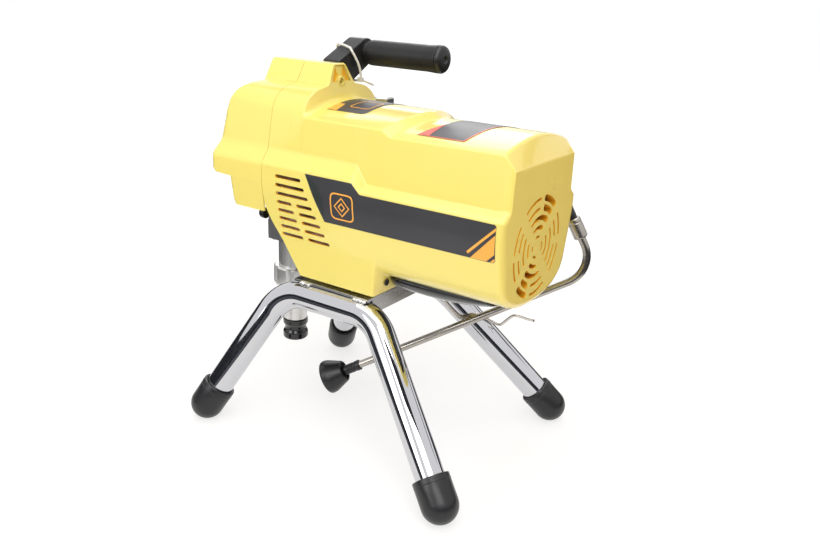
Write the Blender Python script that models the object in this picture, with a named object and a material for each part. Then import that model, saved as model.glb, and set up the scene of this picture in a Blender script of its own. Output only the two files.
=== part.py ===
"""Airless paint sprayer on a four-legged tube stand.

A motor turns a crank through two pairs of gears, the crank lifts a piston pump, and the pump
feeds a filter and a spray manifold. All sizes below are millimetres; new_object() turns them
into metres. The working frame has +Z up, the pump at -Y, the fan grille at +Y and the manifold
and controls at -X, with its origin on the floor between the four feet. At the end the whole
machine is moved so that the origin is the bottom centre of its bounding box.
"""

import math

import bmesh
import bpy
from mathutils import Matrix, Vector

MM = 0.001
GAP = 0.3                      # between pieces that rest on, or are fixed to, each other
RUNNING_GAP = 0.15             # radial, between a shaft and its bearing

# Stand
FOOT_X = 129.9                 # centres of the feet's ball ends
FOOT_Y = 167.1
FOOT_RADIUS = 20.0
FOOT_CUP = 28.0                # foot's length above its ball centre
FOOT_FLAT = 0.8                # height ground off the ball end where it stands
LEG_RADIUS = 16.0
LEG_WALL = 1.6
LEG_TOP_Z = 167.0              # centreline of the leg's level top run
LEG_LEAN = 0.424               # sideways lean of both legs, per millimetre of height
FRONT_RAKE = 0.485             # run of the front and rear halves, per millimetre of height
REAR_RAKE = 0.903
LEG_BEND_RADIUS = 49.0
PLATE_THICKNESS = 3.0
PLATE_HALF_WIDTH = 72.0
PLATE_FRONT_Y = -78.0
PLATE_REAR_Y = 27.0
FLANGE_HEIGHT = 20.0
FLANGE_HALF_WIDTH = 62.0

# Covers
WALL = 2.5
SEAM_Y = -116.0                # joint between the front cover and the motor shroud
TOWER_HALF_WIDTH = 10.0        # handle root cover: half widths and heights
TOWER_TOP_Z = 423.0
TOWER_BASE_HALF_WIDTH = 23.0
SHOULDER_Z = 401.0
RIDGE_X = 68.0                 # where the roof meets the upper side
ARCH_RIDGE_X = 65.5            # the same, over the handle root
FRONT_ROOF = (                 # roof points, crown to ridge, at the front cover's rim
    (0.0, 423.0), (10.0, 423.0), (23.0, 398.5), (46.0, 396.5), (59.5, 393.0), (66.5, 383.5),
    (68.0, 366.0))
ARCH_RIDGE_Z = 366.0
ARCH_END_Y = -70.0             # rear-facing wall behind the handle root
MID_CROWN_Z = 385.0
MID_RIDGE_Z = 370.5
REAR_CROWN_Z = 377.6
REAR_RIDGE_Z = 364.5
REAR_END_RIDGE_Z = 366.2        # the ridge climbs a little towards the rear
ROOF_STEP_Y = 36.0             # step down from the middle roof to the rear roof, at the ridge
ROOF_CHEVRON = 18.0            # how much further back the step lies at the crown
SIDE_STEP_Y = 6.0              # diagonal step where the side's ledge drops
SIDE_STEP_RUN = 16.0
INSET_X = 71.5                 # foot of the upper side, above the ledge
INSET_FRONT_Z = 331.0
INSET_REAR_Z = 313.0
LEDGE_X = 83.0
LEDGE_FRONT_Z = 316.0
LEDGE_REAR_Z = 306.0
SIDE_POINTS = ((83.0, 290.0), (79.5, 270.0), (75.5, 250.0), (72.0, 232.0))
BELLY_POINTS = ((65.0, 221.0), (48.0, 210.0), (22.0, 204.5), (0.0, 203.5))
KEEL_X = 70.0
KEEL_BOTTOM_Z = 190.0
KEEL_END_Y = 33.0
KEEL_SLANT_TOP_Z = 260.5
KEEL_SLANT_RUN = 0.655         # rearward run of the keel's front edge, per millimetre down
CHAMFER_START_Y = 175.5        # roof chamfer above the rear face
REAR_FACE_Y = 187.3
REAR_TOP_Z = 352.0
REAR_FILLET = 5.5
NOSE_CORNER = 8.0              # rounding between the front cover's sides and face
TOWER_CORNER = 4.0
NOSE_POINTS = (                # height and front face of the front cover
    (423.0, -166.0), (401.0, -168.0), (394.0, -172.0), (388.0, -177.0), (378.0, -183.0),
    (366.0, -187.0), (342.0, -191.0), (331.0, -193.5), (316.0, -198.0), (299.0, -198.0),
    (294.5, -194.5), (293.5, -170.0), (262.0, -168.0), (259.0, -164.0))
COVER_BOTTOM_Z = 260.0
BULGE_BOTTOM_Z = 294.0

# Vents in both sides and the rear grille
VENT_HEIGHT = 3.2
VENT_SLOTS = (                 # height, front end and rear end of each slot
    (305.1, -95.8, -58.9), (295.4, -95.7, -54.1), (285.8, -95.6, -49.4),
    (275.7, -95.6, -74.3), (275.7, -67.4, -45.0), (266.1, -95.7, -72.2), (266.1, -65.0, -40.4),
    (256.5, -95.6, -69.6), (256.5, -62.6, -35.9), (246.9, -95.2, -66.7), (246.9, -59.9, -31.2),
    (237.4, -94.6, -63.5), (237.4, -56.5, -25.6))
GRILLE_X = 4.0
GRILLE_Z = 265.5
GRILLE_ARCS = (                # radius, first and last angle, width at each end
    (50.5, 52.0, 90.0, 3.0, 3.0), (50.5, 98.0, 133.0, 7.0, 7.0), (50.5, 147.0, 178.0, 3.0, 3.0),
    (50.5, -172.0, -136.0, 3.0, 3.0), (50.5, -119.0, -82.0, 3.0, 3.0),
    (50.5, -72.0, -42.0, 7.0, 7.0), (50.5, -31.0, -4.0, 3.0, 3.0), (50.5, 3.0, 36.0, 3.0, 3.0),
    (40.5, 52.0, 88.0, 3.0, 3.0), (40.5, 99.0, 131.0, 7.0, 7.0), (40.5, 149.0, 177.0, 3.0, 3.0),
    (40.5, -171.0, -137.0, 3.0, 3.0), (40.5, -116.0, -80.0, 3.0, 3.0),
    (40.5, -70.0, -44.0, 7.0, 7.0), (40.5, -30.0, -6.0, 3.0, 3.0), (40.5, 4.0, 33.0, 3.0, 3.0),
    (30.5, 53.0, 128.0, 2.6, 7.0), (30.5, 151.0, 223.0, 3.0, 3.0),
    (30.5, -111.0, -44.0, 2.6, 7.0), (30.5, -27.0, 29.0, 3.0, 3.0),
    (20.5, 55.0, 118.0, 3.0, 5.0), (20.5, 155.0, 218.0, 3.0, 3.0),
    (20.5, -98.0, -47.0, 3.0, 5.0), (20.5, -21.0, 22.0, 3.0, 3.0),
    (10.8, 62.0, 112.0, 2.6, 2.6), (10.8, 158.0, 212.0, 2.6, 2.6),
    (10.8, -90.0, -48.0, 2.6, 2.6), (10.8, -14.0, 16.0, 2.6, 2.6))

# Motor and gear train
MOTOR_Z = 267.0
MOTOR_RADIUS = 56.0
MOTOR_WALL = 3.0
MOTOR_FRONT_Y = -35.4
MOTOR_REAR_Y = 128.0
ROTOR_RADIUS = 33.0
SHAFT_RADIUS = 6.0
FAN_RADIUS = 50.0
FAN_BLADES = 7
FAN_Y = 138.0
FAN_WIDTH = 18.0
PINION_TEETH = 9
WHEEL_TEETH = 32
FIRST_MODULE = 1.5
SECOND_PINION_TEETH = 10
CRANK_GEAR_TEETH = 34
SECOND_MODULE = 2.0
TOOTH_SHARE = 0.40             # tooth width at the pitch circle, as a share of the pitch
FIRST_GEAR_Y = -62.0
FIRST_GEAR_WIDTH = 11.0
SECOND_GEAR_Y = -86.0
SECOND_GEAR_WIDTH = 15.0
CRANK_Z = 330.0
CRANK_THROW = 12.0
JOURNAL_RADIUS = 10.0
CRANK_PIN_RADIUS = 8.0
ROD_LENGTH = 48.0
ROD_THICKNESS = 8.0
BIG_END_RADIUS = 15.0
BIG_END_WIDTH = 14.0
SMALL_END_RADIUS = 9.0
WRIST_RADIUS = 4.0

# Castings
HOUSING_HALF_WIDTH = 60.0
HOUSING_BOTTOM_Z = 222.0
HOUSING_SHOULDER_Z = 345.0
HOUSING_TOP_HALF_WIDTH = 38.0
HOUSING_TOP_Z = 374.0
HOUSING_FRONT_Y = -112.0
HOUSING_REAR_Y = -44.0
HOUSING_WALL = 5.0
HOUSING_FRONT_WALL = 20.0
FOOT_PAD_HALF_WIDTH = 40.0
FOOT_NECK_HALF_WIDTH = 20.0
FOOT_PAD_FRONT_Y = -64.0
FOOT_PAD_REAR_Y = 20.0
YOKE_HALF_WIDTH = 32.0
YOKE_FRONT_Y = -168.0
YOKE_PLATE = 14.5
YOKE_BOTTOM_Z = 211.0
YOKE_SHELF = 17.0

# Pump
PUMP_Y = -141.0
CYLINDER_RADIUS = 20.7
CYLINDER_BORE = 13.0
JAM_NUT_RADIUS = 26.7
JAM_NUT_BOTTOM_Z = 141.0
JAM_NUT_HEIGHT = 30.0
JAM_NUT_NOTCHES = 8
CYLINDER_TOP_Z = 226.0
FOOT_VALVE_RADIUS = 14.7
FOOT_VALVE_SHOULDER_Z = 98.0
NIPPLE_RADIUS = 11.0
NIPPLE_BOTTOM_Z = 75.5
CAP_BOTTOM_Z = 70.4
CAP_TOP_Z = 97.3
CAP_RADIUS = 16.0
CAP_WAIST = 13.8
PISTON_RADIUS = 8.0
PISTON_HEAD_RADIUS = 12.6
PISTON_BOTTOM_Z = 150.0
BALL_RADIUS = 6.5
OUTLET_BALL_RADIUS = 4.5
CLEVIS_HALF_WIDTH = 11.0
CLEVIS_BASE = 7.0

# Manifold, filter and valves
MANIFOLD_X = -109.0
MANIFOLD_Y = -92.0
MANIFOLD_Z = 258.0
MANIFOLD_HALF = (18.0, 20.0, 20.0)
NECK_RADIUS = 11.0
FILTER_RADIUS = 17.0
FILTER_TOP_Z = 352.0
FILTER_WALL = 4.0
FILTER_CAP_RADIUS = 14.5
FILTER_CAP_HEIGHT = 24.0
VALVE_RADIUS = 10.0
VALVE_LENGTH = 18.0
LEVER_LENGTH = 34.0
LEVER_THICKNESS = 9.0

# Controls
PANEL_FACE_X = -98.0
PANEL_FRONT_Y = -22.0
PANEL_REAR_Y = 112.0
PANEL_TOP_Z = 304.0
PANEL_BOTTOM_Z = 248.5
PANEL_WALL = 2.5
KNOB_Y = 14.0
KNOB_Z = 276.0
KNOB_RADIUS = 15.0
KNOB_DEPTH = 14.0
SWITCH_Y = 74.0
SWITCH_HALF_WIDTH = 8.0
SWITCH_HALF_HEIGHT = 11.0
ROCKER_TILT = 10.0             # degrees each side of level

# Handle
GRIP_X = -59.0
GRIP_Z = 432.5
GRIP_RADIUS = 14.6
GRIP_CORE_RADIUS = 10.5
GRIP_START_Y = -74.0
GRIP_END_Y = 21.5
ARM_FRONT_Y = -104.0
ARM_REAR_Y = -80.0
ARM_TOP = ((-53.4, 447.8), (-7.0, 424.9))        # upper edge, from the grip to the tower
ARM_BOTTOM = ((-58.0, 418.6), (-14.0, 390.9))    # lower edge
ARM_END_RADIUS = (16.2, 14.0)  # of the round end about the grip, above and below
ARM_ROOT_HALF_WIDTH = 14.0
ARM_ROOT_TOP_Z = 410.0
ARM_ROOT_Z = 384.0
ARM_CLEARANCE = 1.5

# Drain line, a rigid tube at the end of a hose: centreline points picked along its real route
HOSE_RADIUS = 5.2
HOSE_POINTS = (
    (-112.0, -49.4, 250.0), (-112.0, -36.0, 250.0), (-112.5, 0.0, 250.0), (-113.0, 40.0, 252.5),
    (-113.0, 78.0, 264.0), (-112.0, 112.0, 281.0), (-110.5, 138.0, 293.0),
    (-109.2, 154.0, 295.5), (-109.0, 165.5, 288.5), (-109.9, 172.9, 276.3),
    (-111.2, 176.25, 269.75))
TUBE_RADIUS = 4.7
TUBE_POINTS = ((-111.3, 176.5, 269.3), (-123.4, 207.1, 209.9), (6.5, -53.3, 50.1))
TUBE_BEND_RADIUS = 34.0
TUBE_REACH = 12.0              # how far the tube runs on into the cone
FERRULE_RADIUS = 8.0
FERRULE_LENGTH = 24.4
SLEEVE_RADIUS = 6.5
SLEEVE_LENGTH = 26.0
CONE_PROFILE = (               # outside of the cone: radius and distance from its small end
    (11.0, 4.0), (11.0, 0.0), (13.0, 0.0), (20.5, 18.0), (21.2, 22.0), (20.8, 25.0),
    (19.5, 26.0), (18.0, 25.0), (17.2, 18.0), (13.0, 12.0))
CLIP_WIRE_RADIUS = 1.7
CLIP_POINTS = (
    (-55.0, 48.5, 152.0), (-58.4, 55.6, 143.2), (-62.6, 66.6, 133.2), (-66.3, 74.6, 132.6),
    (-75.0, 82.8, 138.0), (-84.0, 90.7, 132.2), (-94.0, 98.4, 124.6), (-95.0, 106.5, 124.3),
    (-95.0, 112.3, 129.8), (-95.0, 121.6, 139.6), (-95.0, 128.6, 141.8), (-95.0, 139.3, 141.3),
    (-95.0, 149.8, 141.5))

TIE_RADIUS = 1.5
TIE_POINTS = (                 # over the arm, down past its far side and back under it
    (-35.6, -106.6, 439.6), (-34.4, -103.5, 441.3), (-31.6, -92.0, 440.0), (-27.6, -81.0, 438.0),
    (-25.8, -77.6, 435.6), (-28.5, -75.2, 429.6), (-33.0, -73.0, 421.0), (-35.8, -72.2, 413.0),
    (-37.4, -72.4, 406.5), (-38.4, -73.6, 402.8), (-44.5, -82.0, 400.8), (-50.0, -92.0, 399.4),
    (-52.5, -103.0, 402.4), (-50.5, -108.8, 410.0), (-45.0, -109.4, 424.0),
    (-39.0, -108.8, 434.0))

MATERIALS = {                  # colour, roughness, metallic
    "yellow_plastic": ((0.93, 0.72, 0.11), 0.22, 0.0),
    "black_plastic": ((0.03, 0.03, 0.032), 0.45, 0.0),
    "gloss_black": ((0.01, 0.01, 0.011), 0.12, 0.0),
    "black_rubber": ((0.02, 0.02, 0.02), 0.7, 0.0),
    "black_paint": ((0.05, 0.05, 0.055), 0.35, 0.0),
    "chrome": ((0.78, 0.78, 0.8), 0.08, 1.0),
    "steel": ((0.6, 0.59, 0.57), 0.3, 1.0),
    "stainless": ((0.66, 0.62, 0.57), 0.24, 1.0),
    "grey_casting": ((0.22, 0.22, 0.23), 0.5, 0.8),
    "aluminium": ((0.7, 0.7, 0.71), 0.4, 1.0),
    "brass": ((0.75, 0.56, 0.25), 0.3, 1.0),
    "copper": ((0.7, 0.35, 0.2), 0.4, 1.0),
    "white_nylon": ((0.85, 0.85, 0.83), 0.5, 0.0),
    "red_plastic": ((0.6, 0.04, 0.03), 0.4, 0.0),
}


# ---------------------------------------------------------------- modelling helpers

def clear_scene():
    for obj in list(bpy.data.objects):
        bpy.data.objects.remove(obj, do_unlink=True)


def make_material(name):
    colour, roughness, metallic = MATERIALS[name]
    material = bpy.data.materials.new(name)
    material.use_nodes = True
    shader = material.node_tree.nodes["Principled BSDF"]
    shader.inputs["Base Color"].default_value = (*colour, 1.0)
    shader.inputs["Roughness"].default_value = roughness
    shader.inputs["Metallic"].default_value = metallic
    material.diffuse_color = (*colour, 1.0)
    return material


def new_object(name, bm, material, origin=(0.0, 0.0, 0.0), sharp=32.0):
    """Turn a mesh drawn in millimetres into an object whose origin is at the given point."""
    origin = Vector(origin)
    bmesh.ops.translate(bm, verts=bm.verts, vec=-origin)
    bmesh.ops.scale(bm, verts=bm.verts, vec=(MM, MM, MM))
    mesh = bpy.data.meshes.new(name)
    bm.to_mesh(mesh)
    bm.free()
    mesh.shade_smooth()
    mesh.set_sharp_from_angle(angle=math.radians(sharp))
    mesh.materials.append(make_material(material))
    obj = bpy.data.objects.new(name, mesh)
    obj.location = origin * MM
    obj.parent = bpy.data.objects.get("machine_frame")
    bpy.context.scene.collection.objects.link(obj)
    return obj


def tool_object(name, bm):
    """A cutter, or a shape to add, that is not itself part of the model."""
    obj = new_object(name, bm, "steel")
    obj.hide_render = True
    obj.display_type = "WIRE"
    return obj


def boolean(obj, bm, operation="DIFFERENCE"):
    count = len(obj.modifiers) + 1
    tool = tool_object(f"{obj.name}.tool_{count}", bm)
    modifier = obj.modifiers.new(f"{operation.lower()}_{count}", "BOOLEAN")
    modifier.operation = operation
    modifier.solver = "EXACT"
    modifier.object = tool


def close(bm):
    """Give a closed mesh outward faces."""
    bmesh.ops.recalc_face_normals(bm, faces=bm.faces)
    return bm


def joined(*meshes):
    """One bmesh that holds several separate bodies, for use as a cutter."""
    total = bmesh.new()
    for part in meshes:
        copies = {}
        for vert in part.verts:
            copies[vert] = total.verts.new(vert.co)
        for face in part.faces:
            total.faces.new([copies[vert] for vert in face.verts])
        part.free()
    return total


def to_axis(axis, point, across_a, across_b, along):
    """A point from two distances across an axis and one along it, measured from a point."""
    offsets = {"x": (along, across_a, across_b),
               "y": (across_a, along, across_b),
               "z": (across_a, across_b, along)}[axis]
    return tuple(start + offset for start, offset in zip(point, offsets))


def prism(outline, axis, low, high):
    """Extrude a closed outline along x, y or z. The outline holds the other two coordinates."""
    bm = bmesh.new()
    zero = (0.0, 0.0, 0.0)
    ends = [[bm.verts.new(to_axis(axis, zero, a, b, level)) for a, b in outline]
            for level in (low, high)]
    bm.faces.new(ends[0])
    bm.faces.new(ends[1])
    count = len(outline)
    for i in range(count):
        j = (i + 1) % count
        bm.faces.new((ends[0][i], ends[0][j], ends[1][j], ends[1][i]))
    return close(bm)


def box(low, high):
    return prism(((low[0], low[1]), (high[0], low[1]), (high[0], high[1]), (low[0], high[1])),
                 "z", low[2], high[2])


def lathe(profile, axis, point, segments=32, ring=False):
    """Turn (radius, distance along the axis) points; a ring's profile is a closed loop."""
    bm = bmesh.new()
    rows = []
    for radius, along in profile:
        if radius == 0.0:
            rows.append([bm.verts.new(to_axis(axis, point, 0.0, 0.0, along))])
            continue
        row = []
        for k in range(segments):
            angle = 2.0 * math.pi * k / segments
            across = radius * math.cos(angle), radius * math.sin(angle)
            row.append(bm.verts.new(to_axis(axis, point, *across, along)))
        rows.append(row)
    pairs = list(zip(rows, rows[1:]))
    if ring:
        pairs.append((rows[-1], rows[0]))
    for lower, upper in pairs:
        for k in range(segments):
            n = (k + 1) % segments
            quad = [lower[k % len(lower)], lower[n % len(lower)],
                    upper[n % len(upper)], upper[k % len(upper)]]
            face = [vert for i, vert in enumerate(quad) if vert not in quad[:i]]
            if len(face) > 2:
                bm.faces.new(face)
    return close(bm)


def drum(radius, low, high, axis, point, segments=32, bore=0.0, edge=0.0):
    """A cylinder along an axis, with an optional bore and edge chamfers."""
    outer = [(radius - edge, low), (radius, low + edge), (radius, high - edge),
             (radius - edge, high)]
    if not edge:
        outer = [(radius, low), (radius, high)]
    if bore:
        return lathe([(bore, low), *outer, (bore, high)], axis, point, segments, ring=True)
    return lathe([(0.0, low), *outer, (0.0, high)], axis, point, segments)


def rounded_path(points, radius, steps=6):
    """Replace a polyline's inner corners by arcs of the given radius."""
    points = [Vector(p) for p in points]
    path = [points[0]]
    for before, corner, after in zip(points, points[1:], points[2:]):
        into = (corner - before).normalized()
        out = (after - corner).normalized()
        turn = into.angle(out)
        reach = radius * math.tan(turn / 2.0)
        normal = (out - into).normalized()
        centre = corner + normal * (radius / math.cos(turn / 2.0))
        start = corner - into * reach - centre
        axis = into.cross(out).normalized()
        for k in range(steps + 1):
            path.append(centre + Matrix.Rotation(turn * k / steps, 3, axis) @ start)
    path.append(points[-1])
    return path


def smooth_path(points, per_span=6):
    """A Catmull-Rom curve through the points, as a list of points."""
    points = [Vector(p) for p in points]
    padded = [2.0 * points[0] - points[1], *points, 2.0 * points[-1] - points[-2]]
    path = []
    for a, b, c, d in zip(padded, padded[1:], padded[2:], padded[3:]):
        for k in range(per_span):
            t = k / per_span
            path.append(0.5 * (2.0 * b + (c - a) * t + (2.0 * a - 5.0 * b + 4.0 * c - d) * t * t
                               + (3.0 * b - a - 3.0 * c + d) * t * t * t))
    return [*path, points[-1]]


def path_frames(path, closed=False):
    """Two directions across the path at each point, carried along it without twist."""
    frames = []
    count = len(path)
    across = None
    for i, point in enumerate(path):
        ahead = path[(i + 1) % count] if closed or i + 1 < count else point
        behind = path[i - 1] if closed or i else point
        along = (ahead - behind).normalized()
        if across is None:
            helper = Vector((0.0, 0.0, 1.0)) if abs(along.z) < 0.9 else Vector((1.0, 0.0, 0.0))
            across = along.cross(helper)
        across = (across - along * across.dot(along)).normalized()
        frames.append((across, along.cross(across)))
    return frames


def sweep(path, radius, sides, bore=0.0, closed=False):
    """A round bar or, with a bore, a tube along a path."""
    bm = bmesh.new()
    frames = path_frames(path, closed)

    def skin(size):
        rings = []
        for point, (a, b) in zip(path, frames):
            ring = []
            for k in range(sides):
                angle = 2.0 * math.pi * k / sides
                ring.append(bm.verts.new(point + (a * math.cos(angle) + b * math.sin(angle)) * size))
            rings.append(ring)
        return rings

    def bridge(first, second):
        for k in range(sides):
            n = (k + 1) % sides
            bm.faces.new((first[k], first[n], second[n], second[k]))

    outer = skin(radius)
    for first, second in zip(outer, outer[1:]):
        bridge(first, second)
    if closed:
        bridge(outer[-1], outer[0])
    elif bore:
        inner = skin(bore)
        for first, second in zip(inner, inner[1:]):
            bridge(first, second)
        bridge(outer[0], inner[0])
        bridge(outer[-1], inner[-1])
    else:
        bm.faces.new(outer[0])
        bm.faces.new(outer[-1])
    return close(bm)


def aim(bm, start, direction):
    """Turn a mesh drawn along +Z from the origin so that it starts at a point and runs one way."""
    turn = Vector((0.0, 0.0, 1.0)).rotation_difference(Vector(direction)).to_matrix()
    bmesh.ops.rotate(bm, verts=bm.verts, matrix=turn)
    bmesh.ops.translate(bm, verts=bm.verts, vec=Vector(start))
    return bm


def gear(teeth, module, axis_point, y_low, width, phase, bore):
    """A spur gear along Y with straight-sided teeth; phase is the angle of one tooth's centre."""
    pitch_radius = teeth * module / 2.0
    outer = pitch_radius + module * 0.95
    root = pitch_radius - module * 1.25
    half = math.pi / teeth
    outline = []
    for k in range(teeth):
        centre = phase + 2.0 * half * k
        for radius, share in ((root, -1.45), (outer, -0.5), (outer, 0.5), (root, 1.45)):
            angle = centre + share * half * TOOTH_SHARE
            outline.append((radius * math.cos(angle), radius * math.sin(angle)))
    bm = bmesh.new()
    rows = []
    for y in (y_low, y_low + width):
        rows.append([bm.verts.new((axis_point[0] + x, y, axis_point[1] + z)) for x, z in outline])
    holes = []
    for y in (y_low, y_low + width):
        row = []
        for k in range(len(outline)):
            angle = math.atan2(outline[k][1], outline[k][0])
            row.append(bm.verts.new((axis_point[0] + bore * math.cos(angle), y,
                                     axis_point[1] + bore * math.sin(angle))))
        holes.append(row)
    count = len(outline)
    for i in range(count):
        j = (i + 1) % count
        bm.faces.new((rows[0][i], rows[0][j], rows[1][j], rows[1][i]))
        bm.faces.new((holes[0][i], holes[0][j], holes[1][j], holes[1][i]))
        bm.faces.new((rows[0][i], rows[0][j], holes[0][j], holes[0][i]))
        bm.faces.new((rows[1][i], rows[1][j], holes[1][j], holes[1][i]))
    return close(bm)


# ---------------------------------------------------------------- stand

def leg_point(side, y, z):
    return Vector((side * (FOOT_X - LEG_LEAN * (z - FOOT_RADIUS)), y, z))


def leg_corners(side):
    """Foot, front corner, rear corner and foot of one leg's centreline."""
    rise = LEG_TOP_Z - FOOT_RADIUS
    return [leg_point(side, -FOOT_Y, FOOT_RADIUS),
            leg_point(side, -FOOT_Y + FRONT_RAKE * rise, LEG_TOP_Z),
            leg_point(side, FOOT_Y - REAR_RAKE * rise, LEG_TOP_Z),
            leg_point(side, FOOT_Y, FOOT_RADIUS)]


def leg_path(side):
    front, front_top, rear_top, rear = leg_corners(side)
    inset = LEG_WALL + GAP
    front = front + (front_top - front).normalized() * inset
    rear = rear + (rear_top - rear).normalized() * inset
    return rounded_path((front, front_top, rear_top, rear), LEG_BEND_RADIUS)


def build_stand():
    for side, label in ((1, "left"), (-1, "right")):
        path = leg_path(side)
        new_object(f"leg_{label}", sweep(path, LEG_RADIUS, 20, LEG_RADIUS - LEG_WALL), "chrome")
        corners = leg_corners(side)
        for place, foot, above in (("front", corners[0], corners[1]),
                                   ("rear", corners[3], corners[2])):
            build_foot(f"foot_{place}_{label}", foot, above - foot)

    top = LEG_TOP_Z + LEG_RADIUS + GAP
    edge = PLATE_THICKNESS
    low = top + edge - FLANGE_HEIGHT
    profile = ((PLATE_FRONT_Y, low), (PLATE_FRONT_Y + edge, low), (PLATE_FRONT_Y + edge, top),
               (PLATE_REAR_Y - edge, top), (PLATE_REAR_Y - edge, low), (PLATE_REAR_Y, low),
               (PLATE_REAR_Y, top + edge), (PLATE_FRONT_Y, top + edge))
    plate = new_object("base_plate", prism(profile, "x", -PLATE_HALF_WIDTH, PLATE_HALF_WIDTH),
                       "steel")
    trims = []
    for side in (1, -1):
        trims.append(sweep(leg_path(side), LEG_RADIUS + GAP, 20))
        outer = side * (PLATE_HALF_WIDTH + 1.0)
        inner = side * FLANGE_HALF_WIDTH
        trims.append(box((min(outer, inner), PLATE_FRONT_Y - 1.0, low - 1.0),
                         (max(outer, inner), PLATE_REAR_Y + 1.0, top)))
    for trim in trims:
        boolean(plate, trim)


def build_foot(name, centre, up):
    inner = LEG_RADIUS + GAP
    ball = [(0.0, -FOOT_RADIUS)]
    for k in range(1, 6):
        angle = math.radians(18.0 * k)
        ball.append((FOOT_RADIUS * math.sin(angle), -FOOT_RADIUS * math.cos(angle)))
    rim = [(FOOT_RADIUS - 0.6, FOOT_CUP - 1.0), (FOOT_RADIUS - 1.6, FOOT_CUP),
           (inner, FOOT_CUP), (inner, LEG_WALL), (0.0, LEG_WALL)]
    bm = lathe([*ball, *rim], "z", (0.0, 0.0, 0.0), 20)
    aim(bm, centre, up)
    foot = new_object(name, bm, "black_rubber")
    reach = FOOT_RADIUS * 2.0
    boolean(foot, box((centre.x - reach, centre.y - reach, -reach),
                      (centre.x + reach, centre.y + reach, FOOT_FLAT)))


# ---------------------------------------------------------------- covers

def arch_roof():
    """Roof points, crown to ridge, over the handle root: tower, shoulder and rounded arch."""
    points = [(0.0, TOWER_TOP_Z), (TOWER_HALF_WIDTH, TOWER_TOP_Z)]
    for degrees in (0.0, 30.0, 51.0, 70.0, 90.0):
        angle = math.radians(degrees)
        x = TOWER_BASE_HALF_WIDTH + (ARCH_RIDGE_X - TOWER_BASE_HALF_WIDTH) * math.sin(angle)
        z = ARCH_RIDGE_Z + (SHOULDER_Z - ARCH_RIDGE_Z) * math.cos(angle)
        points.append((x, z))
    return points


def barrel_roof(crown, ridge):
    points = []
    for x, _ in arch_roof():
        share = x / ARCH_RIDGE_X
        points.append((RIDGE_X * share, crown - (crown - ridge) * share * share))
    return points


def mixed(first, second, share):
    return [(a[0] + (b[0] - a[0]) * share, a[1] + (b[1] - a[1]) * share)
            for a, b in zip(first, second)]


def side_points(share):
    """Upper side's foot, ledge and side wall; share is 0 before the side step and 1 after."""
    inset = INSET_FRONT_Z + (INSET_REAR_Z - INSET_FRONT_Z) * share
    ledge = LEDGE_FRONT_Z + (LEDGE_REAR_Z - LEDGE_FRONT_Z) * share
    return [(INSET_X, inset), (LEDGE_X, ledge), *SIDE_POINTS]


def keel_points():
    return [(KEEL_X + 1.0, (SIDE_POINTS[-1][1] + KEEL_BOTTOM_Z) / 2.0), (KEEL_X, KEEL_BOTTOM_Z),
            (BELLY_POINTS[2][0], KEEL_BOTTOM_Z), (0.0, KEEL_BOTTOM_Z)]


def front_edge(z):
    """Where the shroud starts at each height: the seam, then the keel's slanted edge."""
    return SEAM_Y + KEEL_SLANT_RUN * max(0.0, KEEL_SLANT_TOP_Z - z)


def shroud_stations():
    """Half sections of the shroud: (y at each column, column points), front to rear."""
    arch = arch_roof()
    middle = barrel_roof(MID_CROWN_Z, MID_RIDGE_Z)
    rear = barrel_roof(REAR_CROWN_Z, REAR_RIDGE_Z)
    rear_end = barrel_roof(REAR_CROWN_Z, REAR_END_RIDGE_Z)
    keel = keel_points()
    belly = list(BELLY_POINTS)
    even_y = -30.0             # behind here every column of a station shares one y

    def placed(y, points, chevron=False):
        row = []
        for x, z in points:
            here = y
            if y < even_y:
                start = front_edge(z)
                here = start + (y - SEAM_Y) * (even_y - start) / (even_y - SEAM_Y)
            if z > SHOULDER_Z:
                here -= (z - SHOULDER_Z) * 0.2 * (y > SEAM_Y)
            if chevron and z > INSET_FRONT_Z:
                here += ROOF_CHEVRON * (1.0 - min(1.0, x / RIDGE_X))
            row.append((x, here, z))
        return row

    level = side_points(0.0)
    dropped = side_points(1.0)
    stations = [placed(SEAM_Y, arch + level + keel),
                placed(ARCH_END_Y - 20.0, arch + level + keel),
                placed(ARCH_END_Y, arch + level + keel),
                placed(ARCH_END_Y + 2.6, middle + level + keel),
                placed(even_y, middle + level + keel),
                placed(SIDE_STEP_Y, middle + level + keel),
                placed(SIDE_STEP_Y + SIDE_STEP_RUN, middle + dropped + keel),
                placed(KEEL_END_Y, middle + dropped + keel, True),
                placed(KEEL_END_Y + 3.0, middle + dropped + belly, True),
                placed(ROOF_STEP_Y + 9.0, rear + dropped + belly, True),
                placed(ROOF_STEP_Y + 50.0, mixed(rear, rear_end, 0.35) + dropped + belly),
                placed(CHAMFER_START_Y, rear_end + dropped + belly)]
    flat = [(x * 0.985, REAR_TOP_Z) for x, _ in rear_end]
    run = REAR_FACE_Y - CHAMFER_START_Y
    for back, shrink in ((REAR_FILLET, 0.0), (REAR_FILLET * 0.3, REAR_FILLET * 0.3),
                         (0.0, REAR_FILLET)):
        share = 1.0 - back / run
        roof = mixed(rear_end, flat, share)
        walls = []
        for x, z in dropped[1:] + belly:
            towards = Vector((x, 0.0, z - MOTOR_Z))
            towards *= 1.0 - shrink / towards.length
            walls.append((towards.x, towards.z + MOTOR_Z))
        walls.insert(0, (dropped[0][0] - shrink * 0.6, dropped[0][1]))
        stations.append(placed(REAR_FACE_Y - back, roof + walls))
    return stations


def full_ring(bm, half):
    """Vertices of a whole section from its half: +X side, then the -X side back to the crown."""
    right = [bm.verts.new(point) for point in half]
    inner = half[1:-1] if half[-1][0] == 0.0 else half[1:]
    left = [bm.verts.new((-x, y, z)) for x, y, z in inner]
    return right + left[::-1]


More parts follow.
